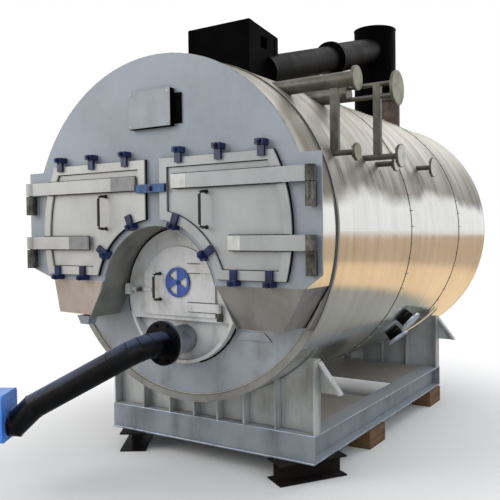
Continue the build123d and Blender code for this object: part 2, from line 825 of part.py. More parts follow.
def i_section(width, depth, flange, web):
    """I-section outline."""
    outline = Rectangle(width, depth)
    side = (width - web) / 2
    for sign in (-1, 1):
        outline -= Pos(sign * (web + side) / 2, 0) * Rectangle(side, depth - 2 * flange)
    return outline


def skid():
    """Two long I-beams, front and rear channels, and two deck plates."""
    middle = skid_half_width - beam_width / 2
    section = i_section(beam_width, skid_depth, beam_flange, beam_web)
    z_mid = (skid_top + skid_bottom) / 2
    beams = [slab(Pos(s * middle, z_mid) * section, skid_front + beam_web, skid_back - beam_web) for s in (-1, 1)]
    inside = skid_half_width - beam_width - seat
    cross = []
    for face, direction in ((skid_front, 1), (skid_back, -1)):
        def between(a, b):
            return sorted((face + direction * a, face + direction * b))
        web = block(-skid_half_width, skid_half_width, *between(0.0, beam_web - seat), skid_bottom, skid_top)
        for low in (skid_bottom, skid_top - beam_flange):
            web += block(-inside, inside, *between(0.0, channel_width), low, low + beam_flange)
        if direction > 0:
            web += block(-skid_half_width, skid_half_width, skid_front - toe_width, skid_front,
                         skid_bottom, skid_bottom + beam_flange)
        cross.append(web)
    top = skid_top - deck_drop
    decks = [
        block(-inside, inside, skid_front + channel_width + seat, front_deck_end, top - deck_thickness, top),
        block(-inside, inside, rear_deck_start, skid_back - channel_width - seat, top - deck_thickness, top),
    ]
    return {
        "skid_side_beams": Compound(children=beams),
        "skid_cross_beams": Compound(children=cross),
        "skid_decks": Compound(children=decks),
    }


def saddle(plate_front_y):
    """Saddle plate cut to the shell, with upright ribs on its front and a bracket at each end."""
    plate = area(-saddle_half_width, saddle_half_width, skid_top, saddle_top)
    body = slab(plate, plate_front_y, plate_front_y + saddle_plate)
    for place in rib_places:
        for sign in (-1, 1):
            x = sign * place
            body += block(x - rib_thickness / 2, x + rib_thickness / 2, plate_front_y - rib_depth, plate_front_y,
                          skid_top, saddle_top)
    for side in (-1, 1):
        body += bracket(side, plate_front_y + saddle_plate / 2)
    return body - shell_cut()


def bracket(side, middle):
    """Triangular bracket with a sloping flange."""
    inner = side * saddle_half_width
    outer = side * (saddle_half_width + bracket_reach)
    high = saddle_top - bracket_drop
    low = high - bracket_height
    triangle = make_face(Polyline((inner, low), (outer, low), (inner, high), close=True))
    piece = slab(triangle, middle - rib_thickness / 2, middle + rib_thickness / 2)
    strip = make_face(Polyline((outer, low), (inner, high), (inner, high - 2 * rib_thickness),
                               (outer - side * 2 * rib_thickness, low), close=True))
    return piece + slab(strip, middle - bracket_flange / 2, middle + bracket_flange / 2)


def packing():
    """I-beam offcuts under the front corners and timber blocks further back."""
    section = i_section(steel_packing_width, packing_height, beam_flange, beam_web * 2)
    steel = []
    for side in (-1, 1):
        place = Pos(side * steel_packing_x, steel_packing_y, (ground + skid_bottom) / 2)
        place *= Rot(0, 0, -side * steel_packing_turn) * Rot(90, 0, 0)
        steel.append(extrude(place * section, amount=steel_packing_length / 2, both=True))
    timber = [
        block(side * timber_x - timber_width / 2, side * timber_x + timber_width / 2, y - timber_length / 2,
              y + timber_length / 2, ground, skid_bottom)
        for side in (-1, 1) for y in timber_y
    ]
    return {"steel_packing": Compound(children=steel), "timber_packing": Compound(children=timber)}


def assembly():
    """All nodes of the boiler by name."""
    left_leaf, left_lining = door(-1)
    right_leaf, right_lining = door(1)
    front_saddle_y = skid_front + rib_depth + beam_web
    rear_saddle_y = skid_back - saddle_plate - beam_web
    nodes = {}
    nodes.update(claddings())
    nodes.update(rear_end())
    nodes.update(tube_plate())
    nodes.update(smoke_box())
    nodes["furnace_front"] = furnace_front()
    nodes["name_plate"] = name_plate()
    nodes["hinge_brackets"] = hinge_brackets()
    nodes["centre_clamp_block"] = centre_clamp_block()
    nodes.update(air_inlet())
    nodes.update(flue())
    nodes["gauge_nozzles"] = gauge_nozzles()
    nodes["side_nozzles"] = side_nozzles()
    nodes.update(skid())
    nodes["front_saddle"] = saddle(front_saddle_y)
    nodes["rear_saddle"] = saddle(rear_saddle_y)
    nodes.update(packing())
    nodes["left_door"] = left_leaf
    nodes["left_door_lining"] = left_lining
    nodes["left_door_ironwork"] = door_ironwork(-1)
    nodes["left_door_clamps"] = door_clamps(-1)
    nodes["right_door"] = right_leaf
    nodes["right_door_lining"] = right_lining
    nodes["right_door_ironwork"] = door_ironwork(1)
    nodes["right_door_clamps"] = door_clamps(1)
    nodes.update(fire_door())
    nodes["damper_wheel"] = damper_wheel()
    return nodes


def main():
    """Build every node, set the origin on the ground under the middle, and write the files."""
    nodes = assembly()
    boxes = [node.bounding_box() for node in nodes.values()]
    middle_x = (min(b.min.X for b in boxes) + max(b.max.X for b in boxes)) / 2
    middle_y = (min(b.min.Y for b in boxes) + max(b.max.Y for b in boxes)) / 2
    lowest = min(b.min.Z for b in boxes)
    place = Pos(-middle_x, -middle_y, -lowest)
    os.makedirs("parts", exist_ok=True)
    for name, node in nodes.items():
        export_step(place * node, f"parts/{name}.step")
    print("moved by", -middle_x, -middle_y, -lowest)
    print("door hinges at", hinge_x, hinge_y, "fire door hinge at", fire_hinge_x, fire_hinge_y)
    print("duct mouth at", duct_way()[3][-1])


main()
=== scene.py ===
"""Finishes and fittings of a horizontal smoke-tube boiler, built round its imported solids."""

import logging
import math
import random
from dataclasses import dataclass, field
from enum import Enum

import bmesh
import bpy
from mathutils import Matrix, Vector


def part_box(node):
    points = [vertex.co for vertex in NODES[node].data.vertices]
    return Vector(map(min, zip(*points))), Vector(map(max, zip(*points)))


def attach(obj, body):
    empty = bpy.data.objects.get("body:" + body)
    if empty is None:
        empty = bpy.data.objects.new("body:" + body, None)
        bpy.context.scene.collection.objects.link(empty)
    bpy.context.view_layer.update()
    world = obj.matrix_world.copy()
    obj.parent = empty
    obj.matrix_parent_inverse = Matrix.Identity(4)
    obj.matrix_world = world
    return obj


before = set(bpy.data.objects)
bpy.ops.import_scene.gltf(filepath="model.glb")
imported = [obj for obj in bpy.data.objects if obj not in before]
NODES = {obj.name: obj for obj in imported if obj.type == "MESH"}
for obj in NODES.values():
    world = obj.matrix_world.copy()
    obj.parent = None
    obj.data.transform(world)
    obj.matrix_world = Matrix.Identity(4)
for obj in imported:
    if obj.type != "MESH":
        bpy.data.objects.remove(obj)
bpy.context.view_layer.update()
log = logging.getLogger("boiler")
logging.basicConfig(level=logging.INFO, format="%(name)s: %(message)s")

# Sizes are in millimetres from the middle of the cladding's front end: X right, Y back and Z up.
_low, _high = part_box("front_cladding")
SHOP_ORIGIN = Vector(((_low.x + _high.x) / 2, _low.y, (_low.z + _high.z) / 2))
SHELL_RADIUS = 1250.0
REAR_RADIUS = 1241.0
FURNACE_Z = -462.0
TUBE_PLATE_Y = -22.0
SMOKE_BOX_Y = -355.0

RIGHTWARD, UPWARD = Vector((1, 0, 0)), Vector((0, 0, 1))
FORWARD, BACKWARD = Vector((0, -1, 0)), Vector((0, 1, 0))
# Pairs of directions that span a plane across the shell, along its side, and level with the ground.
ACROSS, ALONGSIDE, LEVEL = (RIGHTWARD, UPWARD), (BACKWARD, UPWARD), (RIGHTWARD, BACKWARD)

Outline = list[tuple[float, float]]


def at(x: float, y: float, z: float) -> Vector:
    """Point in the row frame, in metres.

    Args:
        x: Millimetres to the right of the shell axis.
        y: Millimetres behind the front end of the cladding.
        z: Millimetres above the shell axis.

    Returns:
        The same point in metres.
    """
    return SHOP_ORIGIN + Vector((x, y, z)) / 1000.0


def across(y: float, outline: Outline) -> list[Vector]:
    """Points of an outline in X and Z, at one place along the shell."""
    return [at(x, y, z) for x, z in outline]


def straight(start: Vector, stop: Vector, count: int) -> list[Vector]:
    """Points spread evenly over a number of equal steps from start to stop."""
    return [start.lerp(stop, k / count) for k in range(count + 1)]


def arc(radius: float, start: float, stop: float, steps: int, z: float = 0.0) -> Outline:
    """Points on a circle in X and Z, angles in degrees from +X towards +Z.

    Args:
        radius: Radius in millimetres.
        start: First angle.
        stop: Last angle.
        steps: Number of spans.
        z: Height of the centre.

    Returns:
        Pairs of X and Z.
    """
    angles = [math.radians(start + (stop - start) * k / steps) for k in range(steps + 1)]
    return [(radius * math.cos(a), z + radius * math.sin(a)) for a in angles]


def spokes(count: int, first: float = 0.5) -> Outline:
    """Directions spread evenly round a circle.

    Args:
        count: Number of directions.
        first: Where the first one lies, as a share of the step between two.

    Returns:
        A cosine and a sine for each.
    """
    angles = [2 * math.pi * (k + first) / count for k in range(count)]
    return [(math.cos(a), math.sin(a)) for a in angles]


def circle(radius: float, y: float, sides: int, z: float = 0.0) -> list[Vector]:
    """Closed circle of points across the shell, round a centre at height z."""
    return across(y, [(radius * c, z + radius * s) for c, s in spokes(sides, 0.0)])


def linear(hex_code: str) -> tuple[float, float, float, float]:
    """Turn an sRGB hex colour into linear RGBA.

    Args:
        hex_code: Colour such as "#8C9196".

    Returns:
        Four linear channel values.
    """
    channels = [int(hex_code[i:i + 2], 16) / 255.0 for i in (1, 3, 5)]
    red, green, blue = ((c / 12.92 if c <= 0.04045 else ((c + 0.055) / 1.055) ** 2.4) for c in channels)
    return red, green, blue, 1.0


def add(tree: bpy.types.NodeTree, kind: str, inputs: dict | None = None, **settings) -> bpy.types.Node:
    """Add one node with its settings and links.

    Args:
        tree: Shader or geometry tree.
        kind: Node type name.
        inputs: Input names or numbers, each with its value, the socket that feeds it, or the node whose
            first output does.
        settings: Attributes of the node.

    Returns:
        The new node.
    """
    node = tree.nodes.new(kind)
    for key, value in settings.items():
        setattr(node, key, value)
    for key, source in (inputs or {}).items():
        if isinstance(source, bpy.types.Node):
            source = source.outputs[0]
        if isinstance(source, bpy.types.NodeSocket):
            tree.links.new(source, node.inputs[key])
        else:
            node.inputs[key].default_value = source
    return node


class Grain(Enum):
    """How a surface was worked, with the scale of its streaks in X, Y and Z."""

    ROLLED = (1.0, 1.0, 0.25)
    BRUSHED_ROUND = (0.35, 3.0, 0.35)
    SPRAYED = (1.2, 1.2, 0.5)
    CAST = (1.0, 1.0, 1.0)
    SAWN = (1.0, 0.2, 1.0)


@dataclass(frozen=True)
class Finish:
    """A painted, metal, refractory or timber surface.

    Args:
        name: What the real surface is.
        base: Main colour.
        dark: Colour of thin paint and dirt in the clouds, and of the dirt and painted shade in corners.
        light: Colour of worn or dusty places.
        metallic: 1 for bare metal, between for aluminium paint.
        roughness: Middle roughness.
        patch: Size of the large patches in millimetres.
        speck: Size of the fine grain in millimetres, drawn coarser than spray or mill grain to show.
        bump: Depth of the fine grain in millimetres.
        grime_and_shade: Share of darkening in corners by ambient occlusion, which is dirt and painted shade.
        spread: How far roughness varies to each side.
        wave: Depth of slow unevenness in millimetres.
        grain: How the surface was worked.
        coat: Clear gloss over the colour.
        gloss: Strength of the reflection of a bare or painted surface, 0.5 for common paint.
        dust_and_sheen: Colour laid on the faces that look up, empty for none: dust on most finishes, dust and
            a painted reflection on the cladding, a painted sky highlight on the air duct.
        level_dust_and_sheen: The same colour where the face lies level, empty for the same.
        settled: Upward slopes, as the sine of the angle, between which the dust closes.
        dust_shine: How metallic the dusty places still are.
    """

    name: str
    base: str
    dark: str
    light: str
    metallic: float = 0.0
    roughness: float = 0.5
    patch: float = 120.0
    speck: float = 4.0
    bump: float = 0.1
    grime_and_shade: float = 0.5
    spread: float = 0.08
    wave: float = 0.0
    grain: Grain = Grain.SPRAYED
    coat: float = 0.0
    gloss: float = 0.5
    dust_and_sheen: str = ""
    level_dust_and_sheen: str = ""
    settled: tuple[float, float] = (0.5, 0.9)
    dust_shine: float = 0.0

    def material(self) -> bpy.types.Material:
        """Build the material, or return it when it exists."""
        known = bpy.data.materials.get(self.name)
        if known:
            return known
        material = bpy.data.materials.new(self.name)
        material.use_nodes = True
        tree = material.node_tree
        tree.nodes.clear()
        coords = add(tree, "ShaderNodeTexCoord").outputs["Object"]
        if self.grain is Grain.SAWN:
            coords = add(tree, "ShaderNodeMapping", {"Vector": coords, "Scale": (14.0, 1.0, 14.0)}).outputs[0]
        drawn = add(tree, "ShaderNodeMapping", {"Vector": coords, "Scale": self.grain.value})
        patches, streaks, specks = (
            add(tree, "ShaderNodeTexNoise", {"Vector": source, "Scale": 1000.0 / size, "Detail": detail,
                                             "Roughness": roughness})
            for source, size, detail, roughness in (
                (coords, self.patch, 4.0, 0.55), (drawn, self.patch * 0.35, 5.0, 0.6),
                (coords, self.speck, 2.0, 0.5)))
        fed = {"Base Color": self._tinted(tree, patches, streaks)}
        wide = {1: 0.3, 2: 0.7, 3: -self.spread, 4: self.spread}
        fine = add(tree, "ShaderNodeMapRange", {0: specks, **wide})
        broad = add(tree, "ShaderNodeMapRange", {0: streaks, **wide})
        rough = add(tree, "ShaderNodeMath", {0: fine, 1: self.roughness}, operation="ADD")
        fed["Roughness"] = add(tree, "ShaderNodeMath", {0: rough, 1: broad}, operation="ADD",
                               use_clamp=True).outputs[0]
        normal = add(tree, "ShaderNodeBump", {"Height": specks, "Strength": 0.6,
                                              "Distance": self.bump / 1000.0})
        if self.wave:
            slow = add(tree, "ShaderNodeTexNoise", {"Vector": drawn, "Scale": 2.2, "Detail": 2.0,
                                                    "Roughness": 0.5})
            normal = add(tree, "ShaderNodeBump", {"Height": slow, "Normal": normal, "Strength": 1.0,
                                                  "Distance": self.wave / 1000.0})
        fed["Normal"] = normal
        if self.dust_and_sheen:
            fed.update(self._dust_and_sheen(tree, fed, patches, streaks))
        shader = add(tree, "ShaderNodeBsdfPrincipled",
                     {"Metallic": self.metallic, "Specular IOR Level": self.gloss, "Coat Weight": self.coat,
                      "Coat Roughness": 0.25, **fed})
        add(tree, "ShaderNodeOutputMaterial", {"Surface": shader})
        return material

    def _tinted(self, tree: bpy.types.NodeTree, patches: bpy.types.Node,
                streaks: bpy.types.Node) -> bpy.types.NodeSocket:
        """Colour the clouds of the paint, and darken the corners by ambient occlusion: dirt, and painted
        shade.

        Args:
            tree: Material tree.
            patches: Noise of the large patches.
            streaks: Noise of the streaks.

        Returns:
            Socket of the colour.
        """
        share = add(tree, "ShaderNodeMath", {0: streaks, 1: 0.45}, operation="MULTIPLY")
        tone = add(tree, "ShaderNodeMath", {0: patches, 1: 0.55, 2: share}, operation="MULTIPLY_ADD")
        ramp = add(tree, "ShaderNodeValToRGB", {"Fac": tone})
        stops = ramp.color_ramp.elements
        stops[0].position, stops[0].color = 0.34, linear(self.dark)
        stops[1].position, stops[1].color = 0.68, linear(self.light)
        stops.new(0.5).color = linear(self.base)
        # Ambient occlusion darkens the corners: dirt, and painted shade.
        hollow = add(tree, "ShaderNodeAmbientOcclusion", {"Distance": 0.07}, samples=6)
        shade = add(tree, "ShaderNodeMapRange", {0: hollow.outputs["AO"], 1: 0.25, 2: 0.85, 3: self.grime_and_shade,
                                                 4: 0.0})
        uneven = add(tree, "ShaderNodeMapRange", {0: streaks, 1: 0.3, 2: 0.7, 3: 0.45, 4: 1.0})
        dirt_and_shade = add(tree, "ShaderNodeMath", {0: shade, 1: uneven}, operation="MULTIPLY", use_clamp=True)
        return add(tree, "ShaderNodeMix", {0: dirt_and_shade, 6: ramp, 7: linear(self.dark)},
                   data_type="RGBA").outputs[2]

    def _dust_and_sheen(self, tree: bpy.types.NodeTree, fed: dict, patches: bpy.types.Node,
                streaks: bpy.types.Node) -> dict:
        """Lay dust on the faces that look up; on the cladding and the air duct this layer is also a painted
        reflection.

        Args:
            tree: Material tree.
            fed: Sockets of the clean surface.
            patches: Noise of the large patches.
            streaks: Noise of the streaks.

        Returns:
            Sockets of the dusty surface, by the name of the input.
        """
        facing = add(tree, "ShaderNodeSeparateXYZ", {0: add(tree, "ShaderNodeTexCoord").outputs["Normal"]})
        uneven = add(tree, "ShaderNodeMapRange", {0: patches, 1: 0.3, 2: 0.7, 3: -0.09, 4: 0.09})
        slope = add(tree, "ShaderNodeMath", {0: facing.outputs["Z"], 1: uneven}, operation="ADD")
        cover, level = (
            add(tree, "ShaderNodeMapRange", {0: slope, 1: low, 2: high, 3: 0.0, 4: 1.0},
                interpolation_type="SMOOTHSTEP")
            for low, high in (self.settled, (0.35, 0.95)))
        thin = add(tree, "ShaderNodeMapRange", {0: streaks, 1: 0.32, 2: 0.68, 3: 0.7, 4: 1.0})
        share = add(tree, "ShaderNodeMath", {0: cover, 1: thin}, operation="MULTIPLY")
        dust_and_sheen = add(tree, "ShaderNodeMix", {0: level, 6: linear(self.dust_and_sheen),
                                           7: linear(self.level_dust_and_sheen or self.dust_and_sheen)}, data_type="RGBA")
        colour = add(tree, "ShaderNodeMix", {0: share, 6: fed["Base Color"], 7: dust_and_sheen.outputs[2]},
                     data_type="RGBA")
        rough = add(tree, "ShaderNodeMix", {0: share, 2: fed["Roughness"], 3: 0.55}, data_type="FLOAT")
        shine = add(tree, "ShaderNodeMapRange", {0: share, 1: 0.0, 2: 1.0, 3: self.metallic,
                                                 4: self.dust_shine})
        return {"Base Color": colour.outputs[2], "Roughness": rough, "Metallic": shine}


# Aluminium paint sprayed on steel plate: a soft blue-grey sheen with cloudy patches.
SMOKE_BOX_PAINT = Finish(
    "aluminium_paint_on_smoke_box", "#9098A2", "#7E848B", "#9DA5AE", 0.15, 0.55, patch=900.0, speck=5.0,
    bump=0.12)
# The doors have two coats of the same paint, so they are paler, with finer clouds; the left door is paler
# still, as painted light from the left.
LIT_DOOR_PAINT = Finish(
    "aluminium_paint_on_left_door", "#B3B5B4", "#A2A3A1", "#BEBFBD", 0.25, 0.48, patch=700.0, grime_and_shade=0.6)
# The right door has the same paint a little darker, as painted shade.
SHADED_DOOR_PAINT = Finish(
    "aluminium_paint_on_right_door", "#A0A4A6", "#8E9193", "#ACB0B2", 0.25, 0.48, patch=700.0, grime_and_shade=0.6)
# The furnace front has had more heat and dust, so it is paler and warmer.
FURNACE_PAINT = Finish(
    "heat_dulled_aluminium_paint", "#CCCFD2", "#A8A7A1", "#DADCDC", 0.2, 0.55, patch=300.0, speck=5.0,
    bump=0.25, grime_and_shade=0.75)
# One coat on mill-scaled plate: bluer and darker, with dust where it looks up.
PLATE_PAINT = Finish(
    "aluminium_paint_on_tube_plate", "#98A1AB", "#7A7F84", "#A8B0B8", 0.35, 0.45, patch=480.0, speck=6.0,
    bump=0.15, grime_and_shade=0.6, dust_and_sheen="#A7A49C")
# Paint over a rough casting: dark in its corners with dirt and painted shade, and uneven in its shine.
SPIGOT_PAINT = Finish(
    "aluminium_paint_on_air_inlet", "#818791", "#62656A", "#979DA5", 0.25, 0.45, speck=5.0, bump=0.2,
    grime_and_shade=0.8)
# Sheet that lies under the smoke box: the same paint darkened as painted shade.
ARCH_PAINT = Finish(
    "shaded_aluminium_paint", "#83857F", "#62635E", "#92948D", 0.3, 0.55, patch=380.0, speck=5.0, bump=0.2,
    grime_and_shade=0.7)
# Aluminium paint on the left hopper, turned a little brown as painted warm light thrown up from the floor.
WARM_LIT_HOPPER_PAINT = Finish(
    "aluminium_paint_on_left_hopper", "#B3A9A1", "#9A8F86", "#C2B8B0", 0.25, 0.5, patch=420.0, speck=5.0,
    bump=0.2, grime_and_shade=0.6)
# The same paint on the right hopper, which looks down: a plain dark grey as painted shade.
SHADED_HOPPER_PAINT = Finish(
    "aluminium_paint_on_right_hopper", "#7F7E7D", "#636262", "#8F8E8C", 0.3, 0.45, patch=420.0, speck=5.0,
    bump=0.2, grime_and_shade=0.7)
# Hot-rolled sections under aluminium paint, with a little dust lying on the flanges.
SKID_PAINT = Finish(
    "aluminium_paint_on_rolled_steel", "#8F98A1", "#6E7276", "#A2AAB2", 0.4, 0.45, patch=420.0, speck=5.0,
    bump=0.25, grime_and_shade=0.7, grain=Grain.ROLLED, dust_and_sheen="#A3A9B0")
# The saddle plates have the skid's paint made paler, as painted light that lifts the shade of the shell above
# them.
SADDLE_PAINT = Finish(
    "aluminium_paint_on_saddles", "#B4B8B8", "#8A8C89", "#C5C9C9", 0.3, 0.5, patch=420.0, speck=5.0,
    bump=0.25, grime_and_shade=0.7, grain=Grain.ROLLED, dust_and_sheen="#A3A9B0")
# Flat plate that is walked on: matt, warm with dust, worn in wide patches.
DECK_PAINT = Finish(
    "dusty_deck_plate_paint", "#8C8B87", "#6C6A65", "#A09E99", 0.25, 0.6, patch=600.0, speck=6.0, bump=0.3,
    grime_and_shade=0.8, dust_and_sheen="#9F9C94")
# Rolled aluminium: a mirror-like skin drawn out round the shell, dark and dull where it looks up and paler at
# the very top: dust, and a painted reflection of a dark roof.
CLADDING_SHEET = Finish(
    "rolled_aluminium_cladding", "#DEDFDC", "#CFCFCA", "#EAEBE9", 1.0, 0.15, patch=900.0, speck=3.0,
    bump=0.01, grime_and_shade=0.4, spread=0.04, wave=0.35, grain=Grain.BRUSHED_ROUND, dust_and_sheen="#6D6658", level_dust_and_sheen="#8E8672",
    settled=(0.13, 0.25), dust_shine=0.35)
# The same sheet cut in strips and handled more, so it mirrors a little less, with the same dust and painted
# reflection on top.
BAND_SHEET = Finish(
    "rolled_aluminium_band", "#D8D8D4", "#B9B8B2", "#E6E6E3", 1.0, 0.2, patch=300.0, speck=3.0, bump=0.02,
    spread=0.05, grain=Grain.BRUSHED_ROUND, dust_and_sheen="#6D6658", level_dust_and_sheen="#8E8672", settled=(0.13, 0.25),
    dust_shine=0.35)
# Paint brushed round a thick flange, chalky on its upper side.
RIM_PAINT = Finish(
    "aluminium_paint_on_rim_flange", "#8B8C8A", "#696966", "#A0A29F", 0.25, 0.45, patch=350.0, bump=0.15,
    grime_and_shade=0.7, grain=Grain.BRUSHED_ROUND, dust_and_sheen="#9D9885", settled=(0.17, 0.45))
# Lagging sealant: a matt dark bead in the joints of the sheet.
JOINT_SEALANT = Finish(
    "dark_joint_sealant", "#33322D", "#1F1E1B", "#4A4841", 0.0, 0.75, patch=90.0, speck=3.0, bump=0.3,
    grime_and_shade=0.4)
# Brushed grey-green on pipe: half shine, dark round the welds with dirt and painted shade.
NOZZLE_PAINT = Finish(
    "grey_paint_on_pipework", "#5C5C53", "#403F38", "#76756C", 0.4, 0.45, patch=160.0, bump=0.25, grime_and_shade=0.8)
# Plated blanks that are pale and even against the grey pipes.
FLANGE_FACE = Finish(
    "pale_flange_blank", "#C9C7BE", "#9A988E", "#DDDBD2", 0.1, 0.5, patch=90.0, speck=3.0, bump=0.15)
# The high blanks and the front ones were brushed with a thin olive primer.
OLIVE_FACE = Finish(
    "olive_primer_on_flange_blank", "#8C8A76", "#5F5D4E", "#A7A591", 0.1, 0.55, patch=90.0, speck=3.0,
    bump=0.15)
# Water marks that ran down the sheet under the nozzles and dried grey.
WATER_STAIN = Finish(
    "dried_water_stain", "#57544B", "#3F3D36", "#6E6A60", 0.4, 0.5, patch=80.0, bump=0.02, grime_and_shade=0.2)
# Enamel brushed on small forgings: near-black blue, glossy, with lighter teal patches.
BLUE_ENAMEL = Finish(
    "blue_enamel_on_clamps", "#121D4D", "#070A1E", "#1B4A74", 0.0, 0.34, patch=110.0, speck=3.0, bump=0.12,
    grime_and_shade=0.9, coat=0.1, gloss=0.35)
# The centre bar has a fresh coat of a greener blue.
BAR_ENAMEL = Finish(
    "teal_blue_enamel_on_centre_bar", "#174A7C", "#0D2A52", "#2465A0", 0.0, 0.34, patch=110.0, speck=3.0,
    bump=0.12, grime_and_shade=0.6, coat=0.1, gloss=0.35)
# The damper wheel is a clean strong blue with a clear shine.
WHEEL_ENAMEL = Finish(
    "blue_enamel_on_damper", "#2850A6", "#1A3174", "#3C69BE", 0.0, 0.34, patch=90.0, speck=3.0, coat=0.2)
# Bright factory enamel on the fan's collar.
FAN_ENAMEL = Finish(
    "blue_enamel_on_fan", "#5094F8", "#3468C0", "#68A6FF", 0.0, 0.36, patch=200.0, bump=0.15, grime_and_shade=0.4,
    coat=0.2)
# Glossy black over pipe: deep black, with bluish patches at random as a painted sky highlight.
BLACK_PAINT = Finish(
    "black_stove_paint", "#080B12", "#030305", "#141C30", 0.0, 0.27, patch=260.0, bump=0.12, gloss=0.16)
# The duct before the boiler: black paint with a painted blue-grey sky highlight on the faces that look up.
DUCT_PAINT = Finish(
    "black_stove_paint_with_painted_sky_highlight", "#080A0E", "#030305", "#12161F", 0.0, 0.3, patch=260.0, bump=0.12,
    gloss=0.16, dust_and_sheen="#31374A", level_dust_and_sheen="#58627C", settled=(0.35, 0.85))
# Sooty stove black: it swallows the light and has hardly any shine.
FLUE_PAINT = Finish(
    "sooty_black_paint", "#030304", "#010102", "#070809", 0.0, 0.6, patch=320.0, speck=5.0, bump=0.25,
    gloss=0.015)
# The rising duct is the same paint a shade greyer, as a painted grey reflection.
FLUE_DUCT_PAINT = Finish(
    "black_paint_with_painted_reflection", "#070808", "#030303", "#101211", patch=320.0, speck=5.0, bump=0.25, grime_and_shade=0.6,
    gloss=0.04)
# Round bar with black oxide, rubbed brown by gloves.
HANDLE_STEEL = Finish(
    "black_oxide_handle_bar", "#252322", "#121111", "#3A3633", 0.4, 0.45, patch=60.0, speck=3.0)
# Cast and welded hinge eyes, greasy and scuffed, so they look mottled.
KNUCKLE_IRON = Finish(
    "greasy_hinge_iron", "#4B4C48", "#1E1E1C", "#7C7D77", 0.4, 0.45, patch=70.0, speck=5.0, bump=0.4,
    grime_and_shade=0.8, gloss=0.3)
# Zinc-plated bolts: small bright points with dirt and painted shade at their feet.
BRIGHT_FASTENER = Finish(
    "zinc_plated_fastener", "#A5A49C", "#66645C", "#C3C1B8", 0.9, 0.35, patch=40.0, speck=2.0, bump=0.05,
    grime_and_shade=0.7)
# Sheet screws lie flat on the bands and have weathered to the colour of the sheet.
SHEET_SCREW = Finish(
    "weathered_sheet_screw", "#B9B9B2", "#8E8D86", "#CBCAC4", 0.9, 0.4, patch=40.0, speck=2.0, bump=0.05,
    grime_and_shade=0.2)
# Red oxide primer: a flat brown with rough, darker spots.
RUST_PRIMER = Finish(
    "red_oxide_primer", "#4A3931", "#2B221E", "#6A564A", 0.0, 0.6, patch=90.0, bump=0.4, grime_and_shade=0.8)
# Beam offcuts left outdoors: nearly black, with a rusty bloom.
PACKING_STEEL = Finish(
    "weathered_beam_offcut", "#14110F", "#090807", "#2A211C", 0.2, 0.7, speck=5.0, bump=0.5, grime_and_shade=0.7,
    gloss=0.2)
# Sawn softwood, greyed outside and brown in its grain.
PACKING_TIMBER = Finish(
    "weathered_timber", "#6A5036", "#3A2A1B", "#8A6A48", 0.0, 0.8, patch=260.0, speck=5.0, bump=0.8,
    grime_and_shade=0.8, grain=Grain.SAWN)
# Cast refractory: chalky, pitted and without any shine.
REFRACTORY = Finish(
    "cast_refractory", "#A89B86", "#6F6454", "#BDB19C", 0.0, 0.9, speck=7.0, bump=1.2, grime_and_shade=0.9,
    grain=Grain.CAST)
# Steel under dry soot: dark, matt and grainy.
SOOT_STEEL = Finish(
    "sooted_tube_plate", "#2A2725", "#141211", "#3D3834", 0.1, 0.8, patch=200.0, speck=5.0, bump=0.5,
    grime_and_shade=0.8, grain=Grain.CAST, gloss=0.2)
# Graphite rope, and soft black lines of painted shade along edges and in corners.
ROPE_AND_SHADE_BLACK = Finish(
    "graphite_rope_and_painted_shade", "#0B0B0C", "#050505", "#161617", 0.0, 0.85, patch=60.0, speck=3.0, bump=0.5,
    gloss=0.15)
# Grey primer on the strap ends of the left door.
GREY_PAD = Finish("grey_primer_patch", "#7F8182", "#6C6E6F", "#8C8E8F", 0.1, 0.5, grime_and_shade=0.4)
# White paint on the strap ends of the right door and on the air register's seat, and a white line that is a
# painted highlight on the right door's rim.
WHITE_PAINT_AND_HIGHLIGHT = Finish("white_paint_and_painted_highlight", "#CDCECA", "#B4B5B0", "#DADBD7", grime_and_shade=0.4)
# Weld beads under paint: lumpy, catching the light on their crowns.
WELD_METAL = Finish(
    "painted_weld_bead", "#9FA1A0", "#6E706E", "#BBBDBC", 0.35, 0.4, patch=50.0, bump=0.5, grime_and_shade=0.8)
# Weld beads left bare: dark scale with greyer crowns, which along the straps also stand as painted shade at
# the strap edges.
BARE_WELD_AND_SHADE = Finish(
    "unpainted_weld_bead_and_painted_shade", "#3F3F3C", "#1D1D1B", "#6B6B66", 0.4, 0.5, patch=45.0, bump=0.6, grime_and_shade=0.8,
    gloss=0.3)
# Bare sheet of the name plate: smooth, even and a little blue.
PLATE_FACE = Finish(
    "bare_name_plate", "#8F969D", "#7E858C", "#9BA2A9", 0.1, 0.55, patch=160.0, speck=2.0, bump=0.03,
    grime_and_shade=0.3, grain=Grain.ROLLED)
# Pale blue-grey lines along edges: painted highlights where the edges catch the light.
EDGE_HIGHLIGHT = Finish("painted_edge_highlight", "#B4BFD0", "#8E97A3", "#C8D2E0", 0.3, 0.4)
# The covers low on the side are zinc plated; their pale blue-grey is a painted reflection of the sky.
COVER_FACE = Finish(
    "zinc_plated_cover", "#C6D0DC", "#8F98A4", "#DCE4EC", 0.3, 0.35, patch=90.0, speck=3.0, grime_and_shade=0.6)


def rectangle(left: float, right: float, low: float, high: float) -> Outline:
    """Corners of a rectangle, from its lower left one round."""
    return [(left, low), (right, low), (right, high), (left, high)]


def puck(radius: float, height: float, top: float = 0.0) -> Outline:
    """Profile of a round plate, drawn in to a top radius where one is given."""
    return [(0.0, 0.0), (radius, 0.0), (top or radius, height), (0.0, height)]


def finished(name: str, mesh: bpy.types.Mesh, finish: Finish, body: str, smooth: bool) -> None:
    """Put a finished mesh in the scene and let it ride on its body.

    Args:
        name: Object name.
        mesh: Mesh in the row frame.
        finish: Surface.
        body: Body that carries the piece.
        smooth: Whether curved faces are shaded smooth.
    """
    mesh.materials.clear()
    mesh.materials.append(finish.material())
    for face in mesh.polygons:
        face.use_smooth = smooth
        face.material_index = 0
    if smooth:
        mesh.set_sharp_from_angle(angle=math.radians(38))
    piece = bpy.data.objects.new(name, mesh)
    bpy.context.scene.collection.objects.link(piece)
    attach(piece, body)
    log.info("%s: %s", name, finish.name)


